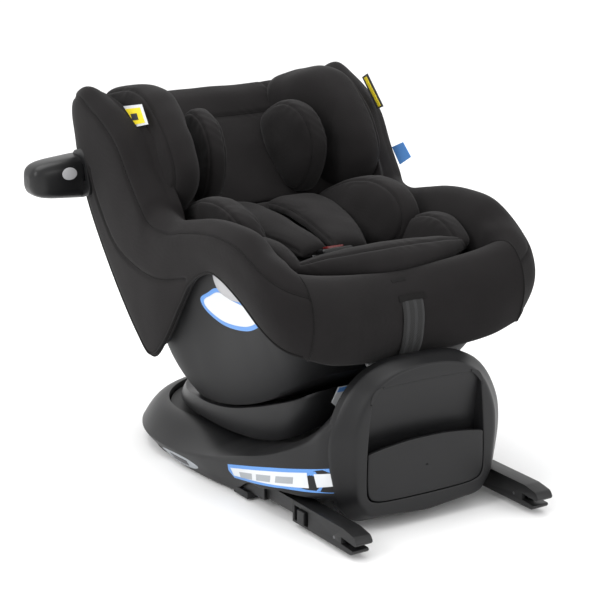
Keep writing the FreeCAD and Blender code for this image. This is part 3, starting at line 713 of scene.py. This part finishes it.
# The middle headrest pad's section from the foot upwards, as height and depth; the dip at 391
# parts off its upper band.
HEADREST = [(262, 6), (267, -3), (300, -8), (340, -10), (366, -9.5), (382, -7.5), (391, -5.5),
            (400, -8), (421, -9), (432, -4), (439, 6), (434, 17), (410, 20), (350, 19),
            (290, 17), (263, 13)]
ends = [-130, -112, -96, -60, 0, 60, 96, 112, 130]
seams = [[headrest_line(x, 391) for x in np.linspace(-120, 120, 13)]]
for edge in (-98, 98):
    seams.append([headrest_line(edge, z, out) for z, out in
                  [(393, -1), (401, -7), (421, -9), (432, -4), (438, 5)]])
swept("headrest_middle_pad", [[headrest_line(x, z, out) for z, out in HEADREST] for x in ends],
      200, 150, "headrest", ["headrest_pad"], seams, 0.7, 21)

# The insert runs from its front roll, over the pan and a little way up the back.
INSERT_MIDDLE = [(-318, 305), (-333, 310), (-341, 321), (-336, 335), (-322, 344), (-304, 346),
                 (-284, 338), (-246, 317), (-190, 290), (-132, 285), (-94, 287), (-64, 298),
                 (-40, 312), (-17, 327), (-1, 336), (9, 328), (-26, 280), (-58, 247), (-120, 259),
                 (-220, 284)]
INSERT_END = [(-298, 315), (-303, 318), (-307, 323), (-306, 329), (-301, 333), (-293, 332),
              (-278, 326), (-240, 309), (-190, 294), (-130, 276), (-90, 266), (-66, 266),
              (-44, 284), (-18, 314), (-4, 330), (5, 325), (-28, 280), (-60, 249), (-120, 262),
              (-220, 287)]


def insert_section(x):
    """A section of the insert, thinner towards its ends."""
    share = min(abs(x) / 128, 1) ** 2.6
    points = (1 - share) * np.array(INSERT_MIDDLE, float) + share * np.array(INSERT_END, float)
    return [(x, y, z) for y, z in points]


def insert_line(index, reach):
    return [insert_section(x)[index] for x in np.linspace(-reach, reach, 25)]


tip_y, tip_z = np.array(insert_section(128))[:, 1:].T
tip_z = 0.6 * tip_z + 0.4 * np.interp(tip_y, [-307, -64, 4], [324, 258, 320])
stations = [insert_section(x) for x in (-128, -110, -84, -44, 0, 44, 84, 110, 128)]
stations = ([[(-133, y, z) for y, z in zip(tip_y, tip_z)]] + stations
            + [[(133, y, z) for y, z in zip(tip_y, tip_z)]])
swept("insert_pad", stations, 220, 240, "seat", ["insert_seat_pad"],
      [insert_line(4, 122), insert_line(1, 118)], 0.5, 23)

stuffed_pad("seat_cushion", 1.03)
stuffed_pad("back_cushion", 1.09)


# ---------------------------------------------------------------- harness

def band_axes(line, sideways):
    """Unit vectors across a band and out of its face, at each point of its line."""
    ahead = np.gradient(line, axis=0)
    ahead /= np.linalg.norm(ahead, axis=1)[:, None]
    side = np.array(sideways, float) - (ahead @ np.array(sideways, float))[:, None] * ahead
    side /= np.linalg.norm(side, axis=1)[:, None]
    return side, np.cross(side, ahead)


def sample_widths(widths, count):
    return smooth_line(np.asarray(widths, float)[:, None], count)[:, 0]


def ribbon(name, line, widths, thick, body, nodes, material, sideways=(1, 0, 0), along=60,
           edge=2.4):
    """A flat band along a line of points in mm; widths are given at the same points."""
    line = smooth_line(line, along)
    side, up = band_axes(line, sideways)
    angles = turns(40)
    c, s = np.cos(angles), np.sin(angles)
    across = np.sign(c) * np.abs(c) ** (2 / (edge * 2.5))
    high = np.sign(s) * np.abs(s) ** (2 / edge)
    rings = (line[:, None] + side[:, None] * (across * 0.5)[None, :, None]
             * sample_widths(widths, along)[:, None, None]
             + up[:, None] * (high * 0.5 * thick)[None, :, None])
    obj = tube(name, rings * MM)
    obj.data.set_sharp_from_angle(angle=math.radians(60))
    finish(obj, body, material, nodes)


def cushion_strip(name, line, widths, thick, nodes, seed):
    """A padded sleeve round a strap, with rounded ends and a seam along each edge."""
    dense = smooth_line(line, 90)
    t = np.linspace(-1, 1, len(dense))
    close = np.clip(1 - np.abs(t) ** 14, 0.02, 1) ** 0.5
    side, up = band_axes(dense, (1, 0, 0))
    up *= np.sign(up[:, 2:] + 1e-9)
    count = 90
    angles = turns(count)
    c, s = np.cos(angles), np.sin(angles)
    across = np.sign(c) * np.abs(c) ** 0.75 * 0.5
    high = np.sign(s) * np.abs(s) ** 0.95 * np.where(s > 0, 0.62, 0.38)
    rings = (dense[:, None] + side[:, None] * across[None, :, None]
             * (sample_widths(widths, len(dense)) * (0.9 + 0.1 * close))[:, None, None]
             + up[:, None] * high[None, :, None] * (thick * close)[:, None, None])
    obj = tube(name, rings * MM)
    soften(obj, 0.6, 45, seed)
    for number, column in enumerate((count // 12, count // 2 - count // 12)):
        sewn(obj, rings[2:-2, column], "seat", f"{name}_seam{number}", 2.2, 1.4)
    finish_soft(obj, "seat", INSERT, nodes)


for side, sign in SIDES:
    cushion_strip(f"shoulder_pad_{side}_sleeve",
                  [(sign * 52, 6, 330), (sign * 52, -28, 333), (sign * 49, -76, 331),
                   (sign * 41, -128, 323), (sign * 28, -188, 310)],
                  [84, 86, 80, 70, 52], 23, [f"shoulder_pad_{side}"], 31 + sign)
    ribbon(f"shoulder_strap_{side}_band",
           [(sign * 50, 26, 330), (sign * 50, 0, 327), (sign * 47, -78, 323),
            (sign * 39, -130, 310), (sign * 26, -176, 297), (sign * 23, -184, 292)],
           [38, 38, 38, 38, 34, 20], 1.8, "seat", [f"shoulder_strap_{side}"], WEBBING)
    ribbon(f"lap_strap_{side}_band",
           [(sign * 110, -108, 279), (sign * 92, -132, 290), (sign * 62, -164, 294),
            (sign * 34, -184, 291), (sign * 25, -188, 290)], [34, 36, 36, 26, 18], 1.8, "seat",
           [f"lap_strap_{side}"], WEBBING, (0, 1, 0.2))
ribbon("crotch_strap_band", [(0, -176, 288), (0, -198, 290), (0, -222, 295), (0, -236, 290),
                             (0, -240, 280)], [38] * 5, 1.8, "seat", ["crotch_strap"], WEBBING)
cushion_strip("crotch_pad_sleeve",
              [(0, -186, 293), (0, -204, 298), (0, -226, 303), (0, -244, 306)],
              [48, 52, 52, 46], 12, ["crotch_pad"], 37)
ribbon("adjuster_strap_band", [(0, -360, 289), (0, -370.5, 284), (0, -375.5, 262), (0, -372, 232),
                               (0, -364, 214), (0, -352, 204.5), (0, -338, 206)], [32] * 7, 1.8,
       "seat", ["adjuster_strap"], STRIPED, along=80)

# ---------------------------------------------------------------- moulded bodies

def contour(half, count):
    """A closed smooth contour from its half at x >= 0, given between its two middle points."""
    return smooth_line(mirror_outline(half), count, True)


def mirror_outline(half):
    return [tuple(q) for q in half] + [(-q[0],) + tuple(q[1:]) for q in half[-2:0:-1]]


def rows_object(name, rows, node, body, material):
    """A moulded skin from closed rows of points in mm."""
    obj = mesh_object(name, np.concatenate(rows) * MM, ring_faces(len(rows), len(rows[0]), False))
    edit(obj, 0.0002)
    shade(obj, 48)
    finish(obj, body, material, [node])
    return obj


# Rows of (x, y, crest z, bottom x, bottom y, bottom z, edge exponent) from the rear to the nose.
BASE_EDGE = [
    (0, -384, 214.5, 0, -384, 40, 9), (40, -384, 214, 40, -384, 40, 9),
    (63, -384, 209, 84, -384, 40, 7), (86, -384, 197, 110, -384, 42, 6),
    (105, -384, 179, 121, -384, 44, 5), (119, -384, 156, 123, -384, 45, 4.5),
    (134, -372, 133, 134, -372, 46, 4), (141, -349, 115, 148, -349, 44, 3.2),
    (149, -320, 99, 161, -308, 42, 2.8), (160, -277, 80, 164, -272, 34, 2.5),
    (168, -231, 66, 162, -236, 29, 2.2), (173, -180, 50, 155, -188, 4, 2.2),
    (176, -125, 38, 161, -137, 2, 2.2), (176.5, -72, 29, 164, -72, 2, 2.2),
    (175, -20, 25, 160, -23, 2, 2.2), (169.5, 24, 24, 153, 22, 2, 2.2),
    (157, 62, 24, 141, 56, 2, 2.2), (134, 101, 24, 120, 92, 2, 2.2),
    (101, 135, 24, 92, 122, 2, 2.2), (58, 158, 24, 53, 142, 2, 2.2),
    (0, 168, 24, 0, 152, 2, 2.2)]
# Heights along the middle of the base, behind the turntable.
SPINE_Y = [-400, -386, -377, -361, -345, -320, -292, -245, -200, -150, -110]
SPINE_Z = [216, 213, 176, 143, 118, 99, 84, 70, 61, 56, 57]


def base_body():
    """The top of the base, its side walls and the rise behind the panel."""
    count = steps(300)
    edge = contour(BASE_EDGE, count)
    crest = edge[:, :3]
    angle = np.arctan2(crest[:, 1], crest[:, 0])
    opening = np.stack([OPENING * np.cos(angle), OPENING * np.sin(angle),
                        np.full(count, DECK_Z)], 1)
    bottom = np.stack([np.where(crest[:, 0] < 0, -1, 1) * np.abs(edge[:, 3]), edge[:, 4],
                       np.maximum(edge[:, 5], 2)], 1)
    rows = [opening * (1, 1, 0) + (0, 0, 48), opening - (0, 0, 1.6)]
    for v in list(np.linspace(0.012, 0.86, 22)) + list(np.linspace(0.88, 0.985, 10)):
        spot = opening + (crest - opening) * v
        inside = np.where(spot[:, 1] > -110, DECK_Z, np.interp(spot[:, 1], SPINE_Y, SPINE_Z))
        spot[:, 2] = inside + (crest[:, 2] - inside) * v ** edge[:, 6]
        rows.append(spot)
    down = bottom - crest
    outward_side = crest * (1, 1, 0) / np.linalg.norm(crest[:, :2], axis=1)[:, None]
    for t, push in ((0.015, 0.6), (0.05, 1.6), (0.12, 2.2), (0.3, 2.4), (0.5, 2.0), (0.75, 1.0),
                    (0.92, 0.3), (0.98, -0.6)):
        rows.append(crest + down * t + outward_side * push)
    rows.append(bottom - outward_side * 2.6)
    rows.append(bottom - outward_side * 3.6 + (0, 0, 6))
    return rows_object("base_body", rows, "base_cover", "base", BASE)


def radial(outline, middle, angles):
    """Distances from a middle point to a closed outline at given angles."""
    dense = smooth_line(outline, 900, True) - middle
    turn = np.arctan2(dense[:, 1], dense[:, 0])
    order = np.argsort(turn)
    reach = np.linalg.norm(dense, axis=1)[order]
    return np.interp(angles, turn[order], reach, period=2 * math.pi)


# Halves of the rear panel's outlines, as (x, z).
PANEL_EDGE = [(0, 217.5), (40, 216.5), (66, 211), (88, 200), (106, 183), (120, 160), (129, 134),
              (131, 104), (127, 72), (121, 44), (110, 26), (94, 13), (60, 10), (0, 9)]
PANEL_RECESS = [(0, 191), (56, 190), (74, 188.5), (82.5, 180), (85, 166), (90, 110), (91, 64),
                (88.5, 49), (79, 42), (56, 39), (0, 38)]
POCKET_WALL = [(0, 115.5), (30, 114.8), (62, 111.6), (84, 108), (88.6, 106), (89.2, 100),
               (89.8, 66), (87.2, 50.5), (78.2, 43.4), (56, 40.4), (0, 39.4)]


def panel_body():
    """The rear panel: rounded front face, recess and the sloping wall behind the pocket."""
    count = steps(480)
    middle = np.array([0.0, 112.0])
    angles = np.linspace(-math.pi, math.pi, count, endpoint=False)
    around = np.stack([np.cos(angles), np.sin(angles)], 1)
    edge = radial(mirror_outline(PANEL_EDGE), middle, angles)
    recess = radial(mirror_outline(PANEL_RECESS), middle, angles)

    def row(reach, depth):
        flat = middle + around * reach[:, None]
        y = depth(flat[:, 1]) if callable(depth) else np.full(count, float(depth))
        return np.stack([flat[:, 0], y, flat[:, 1]], 1)

    def slope(z):
        return np.interp(z, [41, 60, 95, 116, 150, 188], [-385, -384, -384.5, -387, -394.5, -404])
    lean = 0.3 + 0.7 * np.abs(around[:, 0]) ** 1.5
    rows = [row(edge - inset * lean, y) for inset, y in
            ((0, -374), (0, -383.5), (1.2, -386), (6, -390.5), (12, -396), (17.5, -401.5),
             (20, -404.4), (22.5, -406.2), (26, -407), (29, -407.2))]
    rows += [row(recess + 2.6, -407.3), row(recess + 1.0, -407.2), row(recess + 0.4, -406.9),
             row(recess, -406.3), row(recess - 0.3, -405.4)]
    rows += [row(recess - 0.5, lambda z: np.maximum(slope(z), -404.8)),
             row(recess - 1.5, lambda z: np.maximum(slope(z), -404.4))]
    rows += [row(recess * s, slope) for s in (0.94, 0.85, 0.7, 0.5, 0.25, 0.02)]
    rows_object("panel_body", rows, "rear_panel", "base", BASE)
    low = np.array([0.0, 78.0])
    wall = radial(mirror_outline(POCKET_WALL), low, angles)
    rows = []
    for reach, y in ((0.02, -402.6), (0.5, -402.6), (0.97, -402.6), (0.995, -403), (1.0, -404),
                     (1.0, -406), (0.995, -407), (0.985, -407.5), (0.97, -407.7), (0.9, -407.9),
                     (0.6, -408.2), (0.02, -408.3)):
        flat = low + around * (wall * reach)[:, None]
        rows.append(np.stack([flat[:, 0], np.full(count, y), flat[:, 1]], 1))
    rows_object("pocket_wall", rows, "document_pocket", "base", BASE)


def shell_body():
    """The seat's tub: a floor on the recline arc, a flaring wall and a turned-in lip."""
    low = []
    for x, degrees in [(0, -37), (50, -37), (96, -36.6), (118, -34.6), (126, -30), (129, -22),
                       (130, -14), (129, -7), (125, -2.2), (112, 0.9), (86, 2.2), (46, 2.6),
                       (0, 2.6)]:
        turn = math.radians(degrees)
        low.append((x, PIVOT_Y + TUB_RADIUS * math.sin(turn),
                    PIVOT_Z - TUB_RADIUS * math.cos(turn)))
    high = [(0, -346, 244), (60, -352, 246), (130, -350, 258), (172, -334, 274),
            (187, -296, 300), (191, -246, 322), (191, -188, 318), (189, -128, 262),
            (183, -72, 200), (168, -30, 176), (130, -12, 172), (66, -6, 172), (0, -4, 172)]
    count = steps(260)
    bottom, top = contour(low, count), contour(high, count)
    centre = bottom * (0, 1, 1)
    rows = [centre + (bottom - centre) * s for s in (0.0, 0.25, 0.5, 0.75, 0.93)]
    for v in np.linspace(0, 1, 25):
        out = 0.3 * math.sin(math.pi * v / 2) + 0.7 * v
        up = 0.3 * (1 - math.cos(math.pi * v / 2)) + 0.7 * v
        rows.append(bottom + (top - bottom) * (out, out, up))
    inward = top * (1, 0, 0) / np.maximum(np.abs(top[:, :1]), 1)
    rows.append(top - inward * 2 + (0, 0, 3))
    rows.append(top - inward * 6 + (0, 0, 6))
    return rows_object("seat_tub", rows, "seat_shell", "seat", SHELL)


def carriage_body():
    """The carriage on the turntable, whose top lies a little under the recline arc."""
    low = [(0, -290, 112), (60, -290, 110), (90, -284, 104), (108, -262, 90), (116, -225, 75),
           (121, -180, 66), (124, -120, 61), (125, -66, 61), (122, -14, 61), (112, 26, 61),
           (94, 60, 61), (68, 84, 61), (36, 97, 61), (0, 101, 61)]
    plan = [(0, -305), (60, -306), (97, -301), (116, -284), (123, -250), (129, -200), (132, -140),
            (131, -80), (126, -34), (116, 4), (98, 38), (72, 62), (38, 76), (0, 80)]
    high = []
    for x, y in plan:
        # lower in front, to clear the hem of the cover and the handle when reclined
        drop = 6.3 if abs(x) < 65 else 7.2
        radius = CARRIAGE_RADIUS + drop * min(max((-230 - y) / 45, 0), 1)
        z = PIVOT_Z - math.sqrt(radius ** 2 - (y - PIVOT_Y) ** 2)
        high.append((x, y, min(z, 84) if y > 0 else z))
    count = steps(260)
    bottom, top = contour(low, count), contour(high, count)
    rows = [bottom * (0.8, 0.8, 1) + (0, 0, 0.5), bottom * (0.97, 0.97, 1)]
    for v in np.linspace(0.03, 0.97, 16):
        side = bottom + (top - bottom) * v
        swell = 1.5 * math.sin(math.pi * v)
        side[:, :2] *= 1 + swell / 140
        rows.append(side)
    for s in (0.985, 0.94, 0.8, 0.6, 0.4, 0.2, 0.0):
        rows.append(top * (s, 1, 1))
    obj = rows_object("carriage_body", rows, "recline_carriage", "turntable", BASE)
    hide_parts("recline_glide_strips")
    return obj


base = base_body()
tub = shell_body()
carriage = carriage_body()
panel_body()

# ---------------------------------------------------------------- hard pieces

# CAD node, body, material, width of its rounded edges.
HARD = [
    ("base_tray", "base", BASE, 1.5), ("back_shell", "seat", SHELL, 2.0),
    ("pod_sockets", "seat", TRIM, 1.5),
    ("buckle_body", "seat", TRIM, 1.0), ("buckle_button", "buckle_button", RED, 1.2)]
for side, sign in SIDES:
    HARD += [(f"anchor_arm_{side}", f"anchor_arm_{side}", STEEL_DARK, 1.5),
             (f"release_slide_{side}", f"release_slide_{side}", TRIM, 1.0)]
for node, body, material, width in HARD:
    machined(node, body, material, width)

# ---------------------------------------------------------------- pod, levers and labels

def pod_body():
    """The side impact pod: a rounded arm that tapers to its tip."""
    stations = []
    for x, y, z, wide, high in [(213, 131, 379, 27, 30.5), (222, 131, 379, 27, 30),
                                (240, 130.5, 379, 26.5, 28.5), (262, 130, 379, 25.5, 26.5),
                                (278, 129.5, 379, 23.5, 23.5), (288, 129, 379, 19, 18.5),
                                (292.5, 129, 379, 11, 10.5), (293.5, 129, 379, 2, 2)]:
        ring = []
        for angle in turns(24):
            c, s = math.cos(angle), math.sin(angle)
            ring.append((-x, y + wide * math.copysign(abs(c) ** 0.62, c),
                         z + high * math.copysign(abs(s) ** 0.62, s)))
        stations.append(ring)
    obj, net = skin("side_impact_pod_body", stations, 120, 144)
    finish(obj, "side_impact_pod", TRIM, ["side_impact_pod"])
    return obj


def patch(name, outline, axis, towards, target, body, material, lift,
          soft=False, nodes=None, dome=0.0, foot=-1.0):
    """A thin piece laid on a surface: its outline, with round corners if soft, is on the plane
    across an axis; it stands lift plus dome high, and its rim goes down to foot."""
    corners = [tuple(map(float, q)) for q in outline]
    if soft:
        ring = even_ring(corners, 96)
    else:
        ring = np.array([np.array(a) + (np.array(b) - np.array(a)) * t
                         for a, b in zip(corners, corners[1:] + corners[:1])
                         for t in np.linspace(0, 1, 24, endpoint=False)])
    middle = ring.mean(axis=0)
    tree = surface_of(target)
    along = np.zeros(3)
    along[axis] = towards
    free = [k for k in range(3) if k != axis]
    rows = []
    last = target.matrix_world.translation
    for s, up in ((0.02, 1.0), (0.25, 0.96), (0.5, 0.84), (0.75, 0.6), (0.93, 0.3), (0.985, 0.12),
                  (1.0, 0.0), (1.0, None)):
        row = []
        for u, v in middle + (ring - middle) * s:
            start = -along * 600.0
            start[free[0]], start[free[1]] = u, v
            hit, normal = tree.ray_cast(Vector(start) * MM, Vector(along))[:2]
            if hit is None:
                near = Vector(start) * MM
                near[axis] = last[axis]
                hit, normal = tree.find_nearest(near)[:2]
            last = hit
            if normal.dot(Vector(along)) > 0:
                normal = -normal
            height = foot if up is None else lift * (0.5 if s == 1.0 else 1.0) + dome * up
            row.append(tuple(hit + normal * height * MM))
        rows.append(row)
    obj = tube(name, np.array(rows))
    obj.data.set_sharp_from_angle(angle=math.radians(50))
    finish(obj, body, material, nodes)


def ellipse(x, z, wide, high):
    return [(x + wide * math.cos(a), z + high * math.sin(a)) for a in turns(24)]


pod = pod_body()
ribbon("recline_handle_bar", [(-44, -334, 199), (-30, -337, 198), (0, -338, 198), (30, -337, 198),
                              (44, -334, 199)], [10, 14, 15, 14, 10], 5.5, "recline_handle",
       ["recline_handle"], SILVER, (0, 1, 0.25), 40, 3.2)
patch("adjuster_button_cap", [(-22, 310.5), (0, 310.5), (0, 307.5), (-22, 307.5)], 1, 1,
      front_cover, "adjuster_button", THREAD, 0.5, nodes=["adjuster_button"])
patch("strap_slot", [(-20, 292), (20, 292), (20, 285), (-20, 285)], 1, 1, front_cover, "seat",
      THREAD, 1.2)
patch("pod_button_cap", ellipse(-240, 388, 11, 8.5), 1, 1, pod, "pod_button", SILVER, 0.8,
      True, ["pod_button"], 0.8)

LABEL_RING = [(-156, 263), (-175, 276), (-201, 288), (-238, 283), (-300, 281), (-306, 271),
              (-287, 256), (-250, 241), (-200, 236), (-166, 246)]
LABEL_FACE = [(-163, 262), (-180, 273), (-204, 283), (-238, 279), (-292, 277), (-296, 270),
              (-281, 259), (-249, 247), (-202, 242), (-171, 250)]
LEVER_SHAPE = [(-203, 309), (-228, 309), (-256, 301), (-277, 291), (-259, 284), (-236, 282),
               (-212, 286), (-203, 296)]
for side, sign in SIDES:
    patch(f"turn_lever_{side}_cap", LEVER_SHAPE, 0, -sign, tub, f"turn_lever_{side}", SILVER,
          3.0, True, [f"turn_lever_{side}"], 2.0, 1.1)
    patch(f"shell_label_{side}", LABEL_RING, 0, -sign, tub, "seat", LABEL_BLUE, 0.3, soft=True)
    patch(f"shell_label_{side}_face", LABEL_FACE, 0, -sign, tub, "seat", LABEL, 0.7, soft=True)

for name, outline, material, lift in (
        ("", [(-68, 164), (-16, 164), (-13, 155), (-36, 134), (-64, 133), (-76, 144)], LABEL, 0.4),
        ("_band", [(-66, 163), (-18, 163), (-17, 157), (-69, 157)], LABEL_BLUE, 0.8),
        ("_mark", [(-62, 153), (-44, 153), (-44, 140), (-62, 140)], LABEL_GREY, 0.8)):
    patch("carriage_label" + name, outline, 1, 1, carriage, "turntable", material, lift)

# Labels on the base's right side, as (y, z).
BASE_LABELS = [
    ("side_label", [(-199, 46), (-290, 68), (-381, 89), (-390, 84), (-396, 66), (-391, 57),
                    (-317, 48), (-224, 30), (-204, 27), (-196, 36)], LABEL_BLUE, 0.3, False),
    ("side_label_face", [(-203, 42), (-290, 63), (-352, 77.5), (-356, 58), (-317, 51),
                         (-224, 34), (-205, 31)], LABEL, 0.6, False)]
for number, y in enumerate((-222, -262, -302)):
    z = 42 + (-222 - y) * 0.225
    BASE_LABELS.append((f"side_label_mark_{number}", [(y, z), (y - 30, z + 6.8), (y - 30, z - 2),
                                                      (y, z - 8.5)], LABEL_GREY, 0.9, False))
BASE_LABELS += [
    ("side_label_end", [(-362, 78), (-384, 83), (-390, 67), (-366, 61)], LABEL, 0.6, False),
    ("nose_label", [(-20, 14), (-48, 20), (-90, 22), (-118, 17), (-104, 9), (-70, 5), (-38, 5)],
     LABEL_GREY, 0.4, True),
    ("nose_label_mark", [(-46, 16), (-92, 18), (-92, 10), (-50, 8.5)], LABEL_DARK, 0.8, False)]
for name, outline, material, lift, soft in BASE_LABELS:
    patch(name, outline, 0, 1, base, "base", material, lift, soft=soft)


def tag(name, corners, thick, material):
    """A flat woven tag, with its four corners in mm."""
    c = np.array(corners, float)
    across = np.cross(c[1] - c[0], c[3] - c[0])
    across *= thick / 2 / np.linalg.norm(across)
    obj = mesh_object(name, np.concatenate([c + across, c - across]) * MM,
                      [(0, 1, 2, 3), (7, 6, 5, 4), (0, 4, 5, 1), (1, 5, 6, 2), (2, 6, 7, 3),
                       (3, 7, 4, 0)], False)
    edit(obj)
    finish(obj, "seat", material, None)


for name, corners, thick, material in (
        ("white", [(-181, 53, 484), (-182, -1, 495), (-183, -20, 471), (-182, 38, 456)], 0.8,
         LABEL),
        ("yellow", [(-181.2, 47, 481), (-182, 3, 490), (-183, -12, 472), (-182, 36, 460)], 1.6,
         LABEL_YELLOW),
        ("mark", [(-181.7, 30, 477), (-182, 12, 481), (-182.4, 6, 473), (-182, 25, 469)], 2.4,
         LABEL_DARK),
        ("blue", [(201, -36, 402), (203, -60, 413), (203, -80, 395), (201, -56, 380)], 0.9,
         LABEL_BLUE),
        ("dark", [(200, 40, 492), (197, 22, 500), (195, -22, 459), (198, -2, 452)], 0.9,
         LABEL_DARK),
        ("dark_stripe", [(198.6, 32, 492), (197.4, 25, 495), (195.6, -15, 459),
                         (197, -8, 456)], 2.2, LABEL_YELLOW)):
    tag("tag_" + name, corners, thick, material)

# ---------------------------------------------------------------- stage

FLOOR_HALF, FLOOR_Z = 30, -0.0002       # metres
floor = mesh_object("floor", [(x * FLOOR_HALF, y * FLOOR_HALF, FLOOR_Z) for x, y in
                              ((-1, -1), (1, -1), (1, 1), (-1, 1))], [(0, 1, 2, 3)])
paint(floor, new_material("floor_pale", (0.93, 0.93, 0.93), 0.9))

camera_data = bpy.data.cameras.new("camera")
camera_data.sensor_width = 36
camera_data.lens = 122.03
camera = bpy.data.objects.new("camera", camera_data)
camera.location = (-1.414, -2.3342, 0.965)
camera.rotation_euler = (math.radians(74.42), 0, math.radians(-32.27))
scene.collection.objects.link(camera)
scene.camera = camera


# Places and sizes in metres, as the camera's.
def lamp(name, place, target, size, power):
    """A soft rectangular lamp, in metres and watts."""
    data = bpy.data.lights.new(name, "AREA")
    data.shape = "RECTANGLE"
    data.size = size[0]
    data.size_y = size[1]
    data.energy = power
    obj = bpy.data.objects.new(name, data)
    obj.location = place
    obj.rotation_euler = (Vector(target) - Vector(place)).to_track_quat("-Z", "Y").to_euler()
    scene.collection.objects.link(obj)


lamp("key", (-2.8, -0.6, 1.9), (0, 0, 0.25), (1.5, 1.5), 34)
lamp("fill", (1.2, -3.0, 1.3), (0, 0, 0.2), (1.6, 1.2), 16)
lamp("top", (-0.3, 0.5, 3.0), (0, 0, 0.3), (2.2, 2.2), 44)
world = bpy.data.worlds.new("studio")
world.use_nodes = True
world.node_tree.nodes["Background"].inputs["Color"].default_value = (1, 1, 1, 1)
world.node_tree.nodes["Background"].inputs["Strength"].default_value = 1.12
scene.world = world
scene.view_settings.view_transform = "Standard"
